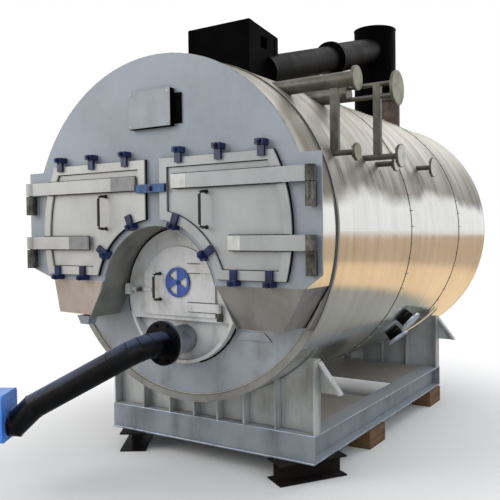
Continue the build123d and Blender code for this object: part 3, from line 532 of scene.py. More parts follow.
class Forge:
    """Gathers simple shapes in one mesh."""

    def __init__(self) -> None:
        """Start with an empty mesh."""
        self.bm = bmesh.new()

    def finish(self, name: str, surface: Finish, body: str, slot: str, smooth: bool = True) -> None:
        """Turn what was gathered into a piece with outward faces.

        Args:
            name: Object name.
            surface: Its finish.
            body: Body that carries it.
            slot: Material slot of the record; not used.
            smooth: Whether curved faces are shaded smooth.
        """
        bmesh.ops.recalc_face_normals(self.bm, faces=self.bm.faces)
        mesh = bpy.data.meshes.new(name)
        self.bm.to_mesh(mesh)
        self.bm.free()
        finished(name, mesh, surface, body, smooth)

    def skin(self, rows: list[list[Vector]], closed: bool = False,
             capped: bool = True) -> bmesh.types.BMFace | None:
        """Join rows of points into a skin.

        Args:
            rows: Rows with the same number of points, or with one at a pole.
            closed: Whether the last row meets the first.
            capped: Whether an open skin gets a face over each end.

        Returns:
            The face over the first row, where there is one.
        """
        rings = [[self.bm.verts.new(point) for point in row] for row in rows]
        sides = max(len(ring) for ring in rings)
        following = rings[1:] + (rings[:1] if closed else [])
        for low, high in zip(rings, following):
            for k in range(sides):
                n = (k + 1) % sides
                corners = (low[k % len(low)], low[n % len(low)], high[n % len(high)], high[k % len(high)])
                unique = list(dict.fromkeys(corners))
                if len(unique) > 2:
                    self.bm.faces.new(unique)
        if closed or not capped:
            return None
        self.bm.faces.new(rings[-1][::-1])
        return self.bm.faces.new(rings[0])

    def plate(self, outline: Outline, y_front: float, y_back: float, bevel: float = 0.0) -> None:
        """Add a plate from an outline in X and Z.

        Args:
            outline: Corners in millimetres.
            y_front: Front face.
            y_back: Back face.
            bevel: Width of the bevel round the front face in millimetres.
        """
        front = self.skin([across(y_front, outline), across(y_back, outline)])
        if bevel:
            bmesh.ops.bevel(self.bm, geom=list(front.edges), offset=bevel / 1000.0, segments=2, profile=0.5,
                            affect="EDGES")

    def turned(self, profile: Outline, origin: Vector, axis: Vector, sides: int) -> None:
        """Add a turned piece, closed at the axis or round a bore.

        Args:
            profile: Radius and height pairs in millimetres, from the axis outwards and back.
            origin: Foot of the axis in the row frame.
            axis: Direction of the axis.
            sides: Number of flats.
        """
        turn = axis.normalized().to_track_quat("Z", "Y").to_matrix().to_4x4()
        place = Matrix.Translation(origin) @ turn
        rows = []
        for radius, height in profile:
            around = spokes(sides, 0.0) if radius else [(0.0, 0.0)]
            rows.append([place @ (Vector((radius * c, radius * s, height)) / 1000.0) for c, s in around])
        self.skin(rows, closed=len(rows[0]) > 1 and len(rows[-1]) > 1, capped=False)

    def tube(self, path: list[Vector], radius: float, sides: int = 6, closed: bool = False,
             wobble: float = 0.0, seed: int = 1) -> None:
        """Add a round bar or a bead along points.

        Args:
            path: Points in the row frame.
            radius: Bar radius in millimetres.
            sides: Number of flats.
            closed: Whether the last point joins the first.
            wobble: Share by which the radius varies, as on a weld.
            seed: Seed of that variation.
        """
        dice = random.Random(seed)
        steep = 0.92
        rows = []
        up = UPWARD
        for i, point in enumerate(path):
            before = path[i - 1] if closed or i else point
            after = path[(i + 1) % len(path)] if closed or i < len(path) - 1 else point
            along = (after - before).normalized()
            if abs(along.dot(up)) > steep:
                up = BACKWARD if abs(along.z) > steep else UPWARD
            side = along.cross(up).normalized()
            up = side.cross(along).normalized()
            size = radius / 1000.0 * (1.0 + wobble * dice.uniform(-1.0, 1.0))
            rows.append([point + size * (side * c + up * s) for c, s in spokes(sides, 0.0)])
        self.skin(rows, closed)


@dataclass
class SetOut:
    """Geometry Nodes tree that sets one shape out on points.

    Args:
        name: Name of the piece.
        finish: Surface of the result.
        sizes: Named inputs of the tree, with their values in millimetres.
    """

    name: str
    finish: Finish
    sizes: dict[str, float]

    def __post_init__(self) -> None:
        """Start the tree with its named inputs."""
        self.tree = bpy.data.node_groups.new(f"{self.name}_tree", "GeometryNodeTree")
        interface = self.tree.interface
        for way in ("INPUT", "OUTPUT"):
            interface.new_socket("Geometry", in_out=way, socket_type="NodeSocketGeometry")
        self.keys = {
            label: interface.new_socket(label, in_out="INPUT", socket_type="NodeSocketFloat").identifier
            for label in self.sizes
        }
        self.given = add(self.tree, "NodeGroupInput").outputs

    def mesh(self, shape: bpy.types.Node, places: list[Vector],
             axes: list[Vector] | None = None) -> bpy.types.Mesh:
        """Set the shape out and turn the result into a plain mesh.

        Args:
            shape: Node that gives the shape.
            places: Points in the row frame.
            axes: Where the Z axis of the shape points at each place, or None where it isn't turned.

        Returns:
            The mesh, in the row frame.
        """
        points = bpy.data.meshes.new(f"{self.name}_points")
        points.from_pydata([tuple(place) for place in places], [], [])
        fed = {"Points": self.given["Geometry"], "Instance": shape}
        if axes:
            stored = points.attributes.new("axis", "FLOAT_VECTOR", "POINT")
            for value, axis in zip(stored.data, axes):
                value.vector = axis
            read = add(self.tree, "GeometryNodeInputNamedAttribute", {"Name": "axis"},
                       data_type="FLOAT_VECTOR")
            fed["Rotation"] = add(self.tree, "FunctionNodeAlignRotationToVector",
                                  {"Vector": read.outputs["Attribute"]}, axis="Z")
        spread = add(self.tree, "GeometryNodeInstanceOnPoints", fed)
        real = add(self.tree, "GeometryNodeRealizeInstances", {"Geometry": spread})
        coloured = add(self.tree, "GeometryNodeSetMaterial",
                       {"Geometry": real, "Material": self.finish.material()})
        add(self.tree, "NodeGroupOutput", {0: coloured})
        holder = bpy.data.objects.new(points.name, points)
        bpy.context.scene.collection.objects.link(holder)
        modifier = holder.modifiers.new("set_out", "NODES")
        modifier.node_group = self.tree
        for label, size in self.sizes.items():
            modifier[self.keys[label]] = size / 1000.0
        result = bpy.data.meshes.new_from_object(holder.evaluated_get(bpy.context.evaluated_depsgraph_get()))
        bpy.data.objects.remove(holder)
        return result


@dataclass
class Fasteners:
    """Nuts or screw heads with washers and stud ends, set out by Geometry Nodes.

    Args:
        across_flats: Nut size in millimetres.
        nut_height: Nut height in millimetres.
        washer_radius: Washer radius in millimetres, 0 where it ends with the flats.
        stud_reach: How far the stud stands out of the nut in millimetres.
        sides: Flats of the nut, or more for a round head.
    """

    across_flats: float
    nut_height: float
    washer_radius: float
    stud_reach: float
    sides: int = 6
    places: list[Vector] = field(default_factory=list)
    axes: list[Vector] = field(default_factory=list)

    def put(self, place: Vector, axis: Vector) -> None:
        """Add one fastener on a face, pointing along an axis."""
        self.places.append(place)
        self.axes.append(axis.normalized())

    def ring(self, centre: Vector, radius: float, count: int, axis: Vector,
             plane: tuple[Vector, Vector] = ACROSS) -> None:
        """Add fasteners evenly round a bolt circle.

        Args:
            centre: Middle of the circle in the row frame.
            radius: Radius of the circle in millimetres.
            count: Number of fasteners.
            axis: Where they point.
            plane: Two directions that span the circle.
        """
        for c, s in spokes(count):
            self.put(centre + (plane[0] * c + plane[1] * s) * radius / 1000.0, axis)

    def build(self, name: str, finish: Finish, body: str, slot: str) -> None:
        """Set every fastener out and finish them as one piece.

        Args:
            name: Object name.
            finish: Surface.
            body: Body that carries them.
            slot: Material slot; not used.
        """
        half = self.across_flats / 2
        sizes = {
            "Nut radius": half / math.cos(math.pi / 6) if self.sides == 6 else half,
            "Nut height": self.nut_height,
            "Washer radius": max(self.washer_radius, half),
            "Washer height": 2.2,
            "Stud radius": self.across_flats * 0.3,
            "Stud reach": self.stud_reach,
        }
        setting = SetOut(name, finish, sizes)
        tree, given = setting.tree, setting.given
        washer_height, nut_height = given["Washer height"], given["Nut height"]
        stud_foot = add(tree, "ShaderNodeMath", {0: nut_height, 1: washer_height}, operation="ADD")
        joined = add(tree, "GeometryNodeJoinGeometry")
        for radius, height, foot, sides in (
                (given["Stud radius"], given["Stud reach"], stud_foot, 10),
                (given["Nut radius"], nut_height, washer_height, self.sides),
                (given["Washer radius"], washer_height, 0.0, 16)):
            solid = add(tree, "GeometryNodeMeshCylinder", {"Vertices": sides, "Radius": radius,
                                                           "Depth": height})
            lift = add(tree, "ShaderNodeMath", {0: height, 1: 0.5, 2: foot}, operation="MULTIPLY_ADD")
            offset = add(tree, "ShaderNodeCombineXYZ", {"Z": lift})
            part = add(tree, "GeometryNodeSetPosition", {"Geometry": solid, "Offset": offset})
            tree.links.new(part.outputs[0], joined.inputs[0])
        finished(name, setting.mesh(joined, self.places, self.axes), finish, body, smooth=False)


@dataclass
class BowHandle:
    """Round bar bent to a bow, with a collar and a nut at each foot.

    Args:
        x: Where it stands in X.
        feet: Lower and upper foot in Z.
        face: Face on which it stands.
        reach: How far the bar stands out.
        bar: Radius of the bar.
        collar: Radius of the collars.
        nut: Radius of the nuts.
        bend: Radius of the two bends.
    """

    x: float
    feet: tuple[float, float]
    face: float
    reach: float
    bar: float
    collar: float
    nut: float
    bend: float = 22.0

    def build(self, name: str, body: str, slot: str) -> None:
        """Bend the bar and set its feet.

        Args:
            name: Object name.
            body: Body that carries it.
            slot: Material slot.
        """
        forge = Forge()
        path = []
        for z, way in zip(self.feet, (1, -1)):
            leg = [at(self.x, self.face, z)]
            for angle in range(0, 91, 15):
                back = self.bend * (1 - math.sin(math.radians(angle)))
                aside = self.bend * (1 - math.cos(math.radians(angle)))
                leg.append(at(self.x, self.face - self.reach + back, z + way * aside))
            path += leg[::way]
        forge.tube(path, self.bar, sides=14)
        profile = [(0.0, 0.0), (self.collar, 0.0), (self.collar, 4.0), (self.nut, 6.0), (self.nut, 14.0),
                   (0.0, 14.0)]
        for z in self.feet:
            forge.turned(profile, at(self.x, self.face, z), FORWARD, 16)
        forge.finish(name, HANDLE_STEEL, body, slot)


@dataclass
class SmokeBoxDoor:
    """Dressing of one smoke box door.

    Args:
        side: -1 for the left door and 1 for the right one.
        body: Body that carries its pieces.
        pads: Inner end, outer end and level of the painted patch on each strap.
        pad_finish: Finish of those patches.
        inner: Inner edge of the door.
        top: Upper edge.
        bottom: Lower edge.
        radius: Radius of the hinge side, about the shell axis.
        arch: Radius of the cut over the furnace arch, about the furnace axis.
        rim: Width of the raised rim.
        front: Front of the rim.
        back: Back of the door.
        pan: Front of the sunk panel.
        handle_x: Where the handle stands.
        handle_feet: Its lower and upper foot.
        handle_face: Face it stands on.
        strap_front: Front of the straps.
        strap_half: Half the width of a patch.
        strap_weld: From the middle of a strap to its beads.
        strap_levels: Middle of the straps in Z.
        hinge: Axis of the hinge in X and Y.
        eye_half: Half the height of a hinge eye.
        bar_face: Inner end, outer end, foot and top of the enamel on the centre bar.
        clamp_front: Front of the dog clamps.
        top_clamps: Clamps along the upper edge in X.
        top_clamp_z: Their level.
        foot_clamps: Clamps along the lower edge in X.
        foot_clamp_z: Their level.
        arch_clamps: Clamps along the arch, in degrees from level.
        bead: Radius of the weld beads.
        bead_step: Length between two lumps of a bead.
        rope: Radius of the gasket rope.
        rope_turns: How far each turn of rope bulges out, and how far it lies before the door's back.
    """

    side: int
    body: str
    pads: tuple[tuple[float, float, float], ...]
    pad_finish: Finish
    inner: float = 68.0
    top: float = 515.0
    bottom: float = -308.0
    radius: float = 1110.0
    arch: float = 562.0
    rim: float = 62.0
    front: float = -385.3
    back: float = -355.3
    pan: float = -367.3
    handle_x: float = 458.0
    handle_feet: tuple[float, float] = (36.0, 272.0)
    handle_face: float = -367.0
    strap_front: float = -409.3
    strap_half: float = 46.5
    strap_weld: float = 50.5
    strap_levels: tuple[float, float] = (352.0, -68.0)
    hinge: tuple[float, float] = (1250.0, -400.3)
    eye_half: float = 48.0
    bar_face: tuple[float, float, float, float] = (23.0, 129.5, 283.6, 340.4)
    clamp_front: float = -429.3
    top_clamps: tuple[float, ...] = (245.0, 575.0, 905.0)
    top_clamp_z: float = 564.0
    foot_clamps: tuple[float, ...] = (685.0, 955.0)
    foot_clamp_z: float = -330.0
    arch_clamps: tuple[float, float] = (69.5, 34.7)
    bead: float = 4.6
    bead_step: float = 14.0
    rope: float = 3.3
    rope_turns: tuple[tuple[float, float], ...] = ((1.2, 3.4), (1.0, 9.6), (0.6, 15.8))

    def outline(self, grow: float) -> Outline:
        """Door outline, from the top inner corner round by the hinge side.

        Args:
            grow: How far it is moved outwards.

        Returns:
            Pairs of X and Z.
        """
        inner, top, bottom = self.inner - grow, self.top + grow, self.bottom - grow
        radius, arch = self.radius + grow, self.arch - grow
        high = math.degrees(math.asin(top / radius))
        low = math.degrees(math.asin(bottom / radius))
        toe = math.degrees(math.acos((bottom - FURNACE_Z) / arch))
        heel = math.degrees(math.asin(inner / arch))
        points = [(inner, top)] + arc(radius, high, low, 22)
        points += arc(arch, 90.0 - toe, 90.0 - heel, 18, FURNACE_Z)
        return [(self.side * x, z) for x, z in points]

    def gasket_and_shade(self) -> None:
        """Rope gasket pressed out over the door's edge, which also darkens that edge as painted shade; a dark
        line of painted shade in the corner inside the rim, on the sides that face right or down; and on the
        right door a white line along the rim's hinge side, a painted highlight.
        """
        forge = Forge()
        # Three turns of rope cover the door's side edge: gasket, and painted shade on that edge.
        for grow, ahead in self.rope_turns:
            turn = across(self.back - ahead, self.outline(grow))
            forge.tube(turn, self.rope, closed=True, wobble=0.1, seed=9)
        corner = self.outline(-self.rim - 2.0)
        left = self.side < 0
        # The outline starts at the top inner corner, so the hinge side follows its first two points.
        hinge_side, rest = corner[2:23], corner[23:] + corner[:2]
        # Dark line in the corner of the pan on the sides that face right or down: painted shade.
        forge.tube(across(self.pan - 0.6, corner if left else rest), 3.0, closed=left)
        forge.finish(f"{self.body}_gasket", ROPE_AND_SHADE_BLACK, self.body, "lining")
        # White line along the hinge side of the right door's rim: a painted highlight.
        if not left:
            edge = Forge()
            edge.tube(across(self.pan - 2.0, hinge_side), 3.2)
            edge.finish(f"{self.body}_rim_highlight", WHITE_PAINT_AND_HIGHLIGHT, self.body, "grey_door")

    def end_pads(self) -> None:
        """Paint patches at the free ends of the straps."""
        forge = Forge()
        for start, stop, level in self.pads:
            low, high = sorted((self.side * start, self.side * stop))
            forge.plate(rectangle(low + 1, high - 1, level - self.strap_half, level + self.strap_half),
                        self.strap_front - 0.9, self.strap_front)
        forge.finish(f"{self.body}_strap_ends", self.pad_finish, self.body, "smoke_box", smooth=False)

    def strap_welds_and_shade(self) -> None:
        """Dark weld beads along the straps and across their free ends, which also stand as painted shade at
        the strap edges.
        """
        forge = Forge()
        y = self.front - 6.0
        for index, (start, _, level) in enumerate(self.pads):
            stop = math.sqrt(self.radius ** 2 - level ** 2) - 8.0
            low, high = level - self.strap_weld, level + self.strap_weld
            for z in (low, high):
                path = straight(at(self.side * start, y, z), at(self.side * stop, y, z),
                                int((stop - start) / self.bead_step))
                forge.tube(path, self.bead, wobble=0.25, seed=11 + index)
            x = self.side * (start - 3.0)
            forge.tube(straight(at(x, y, low), at(x, y, high), 8), self.bead, wobble=0.25, seed=31 + index)
        forge.finish(f"{self.body}_strap_welds_and_shade", BARE_WELD_AND_SHADE, self.body, "smoke_box")

    def handle(self) -> None:
        """Round bar handle on the pan."""
        bow = BowHandle(x=self.side * self.handle_x, feet=self.handle_feet, face=self.handle_face, reach=80.0,
                        bar=10.0, collar=15.0, nut=11.5)
        bow.build(f"{self.body}_handle_bar", self.body, "grey_door")

    def hinge_eyes(self) -> None:
        """Bare greasy iron of the straps' rolled eyes, from which the paint has worn."""
        forge = Forge()
        x, y = self.hinge
        pin, eye, skin, foot, top = 15.5, 33.2, 33.9, -0.6, 97.2
        profile = [(eye, foot), (skin, foot), (skin, top), (pin, top), (pin, top - 1.0), (eye, top - 1.0)]
        for level in self.strap_levels:
            forge.turned(profile, at(self.side * x, y, level - self.eye_half), UPWARD, 28)
        forge.finish(f"{self.body}_hinge_eyes", KNUCKLE_IRON, self.body, "grey_door")

    def bar_enamel(self) -> None:
        """Lighter blue face of this door's half of the centre bar."""
        near, far, low, high = self.bar_face
        left, right = sorted((self.side * near, self.side * far))
        forge = Forge()
        forge.plate(rectangle(left, right, low, high), self.front - 23.2, self.front - 21.8, bevel=0.5)
        forge.finish(f"{self.body}_bar_face", BAR_ENAMEL, self.body, "blue", smooth=False)

    def clamp_nuts(self) -> None:
        """Nuts on the dog clamps above, below and along the arch."""
        nuts = Fasteners(30.0, 15.0, 20.0, 9.0)
        spots = [(x, self.top_clamp_z) for x in self.top_clamps]
        spots += [(x, self.foot_clamp_z) for x in self.foot_clamps]
        spots += arc(self.arch - 20.0, *self.arch_clamps, 1, FURNACE_Z)
        for x, z in spots:
            nuts.put(at(self.side * x, self.clamp_front, z), FORWARD)
        nuts.build(f"{self.body}_clamp_nuts", BLUE_ENAMEL, self.body, "blue")

    def build(self) -> None:
        """Make every piece of the door."""
        self.gasket_and_shade()
        self.end_pads()
        self.strap_welds_and_shade()
        self.handle()
        if self.side > 0:
            self.hinge_eyes()
        self.bar_enamel()
        self.clamp_nuts()


@dataclass
class SmokeBox:
    """Dressing of the smoke box front and of what shows behind its doors.

    Args:
        plate: Left, right, lower and upper edge of the name plate.
        plate_front: Its front.
        screw_inset: From its edges to its screws.
        edge: Radius of the weld round the smoke box face.
        arch: Radius of the weld along the furnace arch.
        tube_pitch: From one smoke tube to the next.
        tube_radius: Radius of a tube's rolled end.
        tube_field: Radius within which the tubes lie.
        tube_foot: Level one row under the first one.
        tube_rows: Number of rows.
        furnace_clear: Least distance from a tube to the furnace axis.
        stay_gap: Half the gap at the middle stay.
        trims: Radii of the trims on the tube plate.
        lid: Corners of the folded lid in X and Z.
        spout: Left, right, front, back and level of the ash spout's mouth and of its foot.
        seams: Start and end in X and Z, and radius, of the dark lines of painted shade along the right hopper.
        bar_stud: Where the stud of the centre bar ends.
    """

    plate: tuple[float, float, float, float] = (-186.0, 186.0, 731.0, 990.0)
    plate_front: float = -400.0
    screw_inset: float = 20.0
    edge: float = 1243.0
    arch: float = 517.0
    tube_pitch: float = 92.0
    tube_radius: float = 31.5
    tube_field: float = 1085.0
    tube_foot: float = -380.0
    tube_rows: int = 13
    furnace_clear: float = 545.0
    stay_gap: float = 22.0
    trims: tuple[float, float] = (1196.0, 1214.0)
    lid: tuple[tuple[float, float], ...] = ((462.0, -759.0), (749.0, -756.0), (690.0, -698.0), (500.0, -704.0))
    spout: tuple[tuple[float, ...], ...] = (
        (-846.0, -716.0, -307.0, -212.0, -632.0), (-816.0, -738.0, -299.0, -222.0, -697.0))
    seams: tuple[tuple[float, ...], ...] = (
        (1185.0, -352.0, 1008.0, -638.0, 6.0), (1006.0, -640.0, 776.0, -640.0, 4.0))
    bar_stud: tuple[float, float, float] = (0.0, -407.3, 312.0)

    def name_plate(self) -> None:
        """Bare sheet over the name plate with four screws, and a black sheet beside it as the plate's painted
        shadow.
        """
        left, right, low, high = self.plate
        front, inset = self.plate_front - 1.6, self.screw_inset
        forge = Forge()
        forge.plate(rectangle(left - 0.6, right - 1, low + 3, high + 0.6), front, self.plate_front + 14.0,
                    bevel=1.0)
        forge.finish("name_plate_face", PLATE_FACE, "boiler", "cladding", smooth=False)
        screws = Fasteners(9.0, 2.4, 0.0, 0.4, 12)
        for x, z in rectangle(left + inset, right - inset, low + inset, high - inset):
            screws.put(at(x, front, z), FORWARD)
        screws.build("name_plate_screws", BRIGHT_FASTENER, "boiler", "flange_rim")
        # Black sheet to the right of the plate: its painted shadow.
        shadow_sheet = Forge()
        shadow_sheet.plate(rectangle(right + 2, right + 66, low + 16, high - 36), SMOKE_BOX_Y - 14.0,
                    SMOKE_BOX_Y - 0.2, bevel=2.0)
        shadow_sheet.finish("name_plate_shadow", FLUE_PAINT, "boiler", "black_steel", smooth=False)

    def face_edges(self) -> None:
        """Weld round the edge of the face and along the arch."""
        forge = Forge()
        forge.tube(across(SMOKE_BOX_Y + 12.5, arc(self.edge, 23.0, 157.0, 150)), 4.5, wobble=0.2, seed=3)
        forge.tube(across(SMOKE_BOX_Y - 0.5, arc(self.arch, 14.5, 165.5, 120, FURNACE_Z)), 4.0, wobble=0.22,
                   seed=5)
        forge.finish("smoke_box_welds", WELD_METAL, "boiler", "smoke_box")

    def tube_centres(self) -> Outline:
        """Centres of the smoke tubes on a triangular pitch, clear of the furnace and of the middle stay.

        Returns:
            Pairs of X and Z.
        """
        centres = []
        for row in range(1, self.tube_rows + 1):
            z = self.tube_foot + row * self.tube_pitch * 0.866
            for column in range(-13, 14):
                x = column * self.tube_pitch + (self.tube_pitch / 2 if row % 2 else 0.0)
                clear = math.hypot(x, z - FURNACE_Z) > self.furnace_clear and abs(x) > self.stay_gap
                if clear and math.hypot(x, z) < self.tube_field:
                    centres.append((x, z))
        return centres

    def tube_ends(self) -> None:
        """Rolled ends of the smoke tubes on the tube plate, and black discs in their bores: soot, and painted
        shade of the tubes' depth.
        """
        centres = across(TUBE_PLATE_Y, self.tube_centres())
        sizes = {"Tube radius": self.tube_radius, "Wall": 4.5, "Reach": 16.0}
        setting = SetOut("smoke_tube_ends", SOOT_STEEL, sizes)
        tree, given = setting.tree, setting.given
        round_tube = add(tree, "GeometryNodeCurvePrimitiveCircle", {"Resolution": 20,
                                                                    "Radius": given["Tube radius"]})
        wall = add(tree, "GeometryNodeCurvePrimitiveQuadrilateral", {"Width": given["Wall"],
                                                                     "Height": given["Reach"]})
        end = add(tree, "GeometryNodeCurveToMesh", {"Curve": round_tube, "Profile Curve": wall})
        upright = add(tree, "GeometryNodeTransform", {"Geometry": end, "Rotation": (math.pi / 2, 0.0, 0.0)})
        mesh = setting.mesh(upright, centres)
        finished("smoke_tube_ends", mesh, SOOT_STEEL, "boiler", smooth=True)
        bores = Forge()
        for centre in centres:
            bores.turned(puck(self.tube_radius - 2.4, 1.2), centre, FORWARD, 14)
        bores.finish("smoke_tube_bores", FLUE_PAINT, "boiler", "black_steel", smooth=False)

    def hopper_lid(self) -> None:
        """Small folded lid on the tube plate under the right hopper."""
        forge = Forge()
        forge.plate(list(self.lid), TUBE_PLATE_Y - 12.0, TUBE_PLATE_Y - 0.2, bevel=1.5)
        forge.finish("hopper_drain_lid", PLATE_PAINT, "boiler", "furnace_front", smooth=False)

    def hopper_outlet(self) -> None:
        """Short tapered spout at the inner corner of the left hopper, through which the ash is drawn."""
        forge = Forge()
        forge.skin([[at(x, y, z) for x, y in rectangle(left, right, front, back)]
                    for left, right, front, back, z in self.spout])
        forge.finish("left_hopper_outlet", SMOKE_BOX_PAINT, "boiler", "smoke_box", smooth=False)

    def plate_trims(self) -> None:
        """Two thin trims that run round the lower part of the tube plate, inside its rim."""
        forge = Forge()
        for radius in self.trims:
            forge.tube(across(TUBE_PLATE_Y - 0.4, arc(radius, 190.0, 350.0, 120)), 2.6)
        forge.finish("tube_plate_trims", FLANGE_FACE, "boiler", "furnace_front")

    def hopper_shade_line(self) -> None:
        """Dark lines of painted shade in the corners where the side and the foot of the right hopper meet the
        tube plate.
        """
        y = TUBE_PLATE_Y - 5.0
        forge = Forge()
        for number, (x_start, z_start, x_end, z_end, radius) in enumerate(self.seams):
            path = straight(at(x_start, y, z_start), at(x_end, y, z_end), 12)
            forge.tube(path, radius, wobble=0.2, seed=51 + number)
        forge.finish("right_hopper_shade_line", ROPE_AND_SHADE_BLACK, "boiler", "black_steel")

    def bar_nut(self) -> None:
        """Nut on the stud that holds the centre bar."""
        nut = Fasteners(34.0, 12.0, 17.0, 6.0)
        nut.put(at(*self.bar_stud), FORWARD)
        nut.build("centre_bar_nut", BLUE_ENAMEL, "boiler", "blue")

    def build(self) -> None:
        """Make every piece of the smoke box."""
        self.name_plate()
        self.face_edges()
        self.tube_ends()
        self.hopper_lid()
        self.hopper_outlet()
        self.plate_trims()
        self.hopper_shade_line()
        self.bar_nut()


@dataclass
class FurnaceFront:
    """Dressing of the furnace front and of the fire door.

    Args:
        leaf_front: Front of the fire door's leaf.
        drum_radius: Outside of the furnace front.
        ledge_y: Front of its ledge.
        throat: Inner and outer radius of the refractory ring.
        register_z: Level of the air register.
        register_radius: Radius of its seat.
        wheel_front: Front of the damper wheel's hub.
        straps: Level, start and end of each strap of the fire door.
        strap_half: From the middle of a strap to its beads.
        latch: Where the latch knob stands in X and Z.
        knob: Profile of the knob.
    """

    leaf_front: float = -105.3
    drum_radius: float = 500.0
    ledge_y: float = -91.0
    throat: tuple[float, float] = (330.0, 436.0)
    register_z: float = -362.0
    register_radius: float = 104.0
    wheel_front: float = -120.8
    straps: tuple[tuple[float, float, float], ...] = ((-259.0, 84.0, 200.0), (-540.0, 84.0, 330.0))
    strap_half: float = 34.0
    latch: tuple[float, float] = (-355.0, -425.0)
    knob: tuple[tuple[float, float], ...] = (
        (0.0, 0.0), (17.0, 0.0), (17.0, 5.0), (11.0, 9.0), (11.0, 22.0), (15.0, 30.0), (15.0, 38.0),
        (9.0, 42.0), (0.0, 42.0))

    def drum(self) -> None:
        """Weld round the drum, two arcs of painted shade along its edges, and refractory round the fire hole.
        """
        weld = Forge()
        weld.tube(circle(self.drum_radius + 2.0, TUBE_PLATE_Y - 2.0, 160, FURNACE_Z), 6.0, closed=True,
                  wobble=0.22, seed=7)
        weld.finish("furnace_front_weld", WELD_METAL, "boiler", "furnace_front")
        shade_arcs = Forge()
        shade_arcs.tube(across(self.ledge_y, arc(self.drum_radius + 1.0, 96.0, 196.0, 70, FURNACE_Z)), 4.5,
                  wobble=0.2, seed=9)
        shade_arcs.tube(across(TUBE_PLATE_Y - 5.0, arc(self.drum_radius + 5.0, 285.0, 372.0, 60, FURNACE_Z)), 7.0,
                  wobble=0.2, seed=10)
        shade_arcs.finish("furnace_front_joint_shade_arcs", ROPE_AND_SHADE_BLACK, "boiler", "furnace_front")
        bore, outer = self.throat
        throat = Forge()
        throat.turned([(outer, 0.0), (outer, 60.0), (bore, 60.0), (bore, 0.0)], at(0, 8.5, FURNACE_Z),
                      BACKWARD, 48)
        throat.finish("furnace_throat_ring", REFRACTORY, "boiler", "lining")

    def door(self) -> None:
        """Handle, latch knob, register seat and strap welds of the fire door."""
        bow = BowHandle(x=-172.0, feet=(-494.0, -303.0), face=self.leaf_front, reach=78.0, bar=9.8,
                        collar=14.0, nut=11.0)
        bow.build("fire_door_handle_bar", "fire_door", "furnace_front")
        x, z = self.latch
        latch = Forge()
        latch.turned(list(self.knob), at(x, self.leaf_front - 12.0, z), FORWARD, 20)
        latch.finish("fire_door_latch_knob", KNUCKLE_IRON, "fire_door", "furnace_front")
        seat = Forge()
        seat.turned(puck(self.register_radius, 2.2), at(0, self.leaf_front, self.register_z), FORWARD, 48)
        seat.finish("register_seat", WHITE_PAINT_AND_HIGHLIGHT, "fire_door", "furnace_front", smooth=False)
        beads = Forge()
        y = self.leaf_front - 1.0
        for level, start, stop in self.straps:
            for z in (level - self.strap_half, level + self.strap_half):
                path = straight(at(start, y, z), at(stop, y, z), int((stop - start) / 12.0))
                beads.tube(path, 3.6, wobble=0.3, seed=int(start - z))
        beads.finish("fire_door_strap_welds_and_shade", BARE_WELD_AND_SHADE, "fire_door", "furnace_front")

    def damper(self) -> None:
        """Hub nut of the damper wheel."""
        nut = Fasteners(26.0, 9.0, 17.0, 5.0)
        nut.put(at(0, self.wheel_front, self.register_z), FORWARD)
        nut.build("damper_hub_nut", WHEEL_ENAMEL, "damper_wheel", "blue")

    def build(self) -> None:
        """Make every piece of the furnace front."""
        self.drum()
        self.door()
        self.damper()


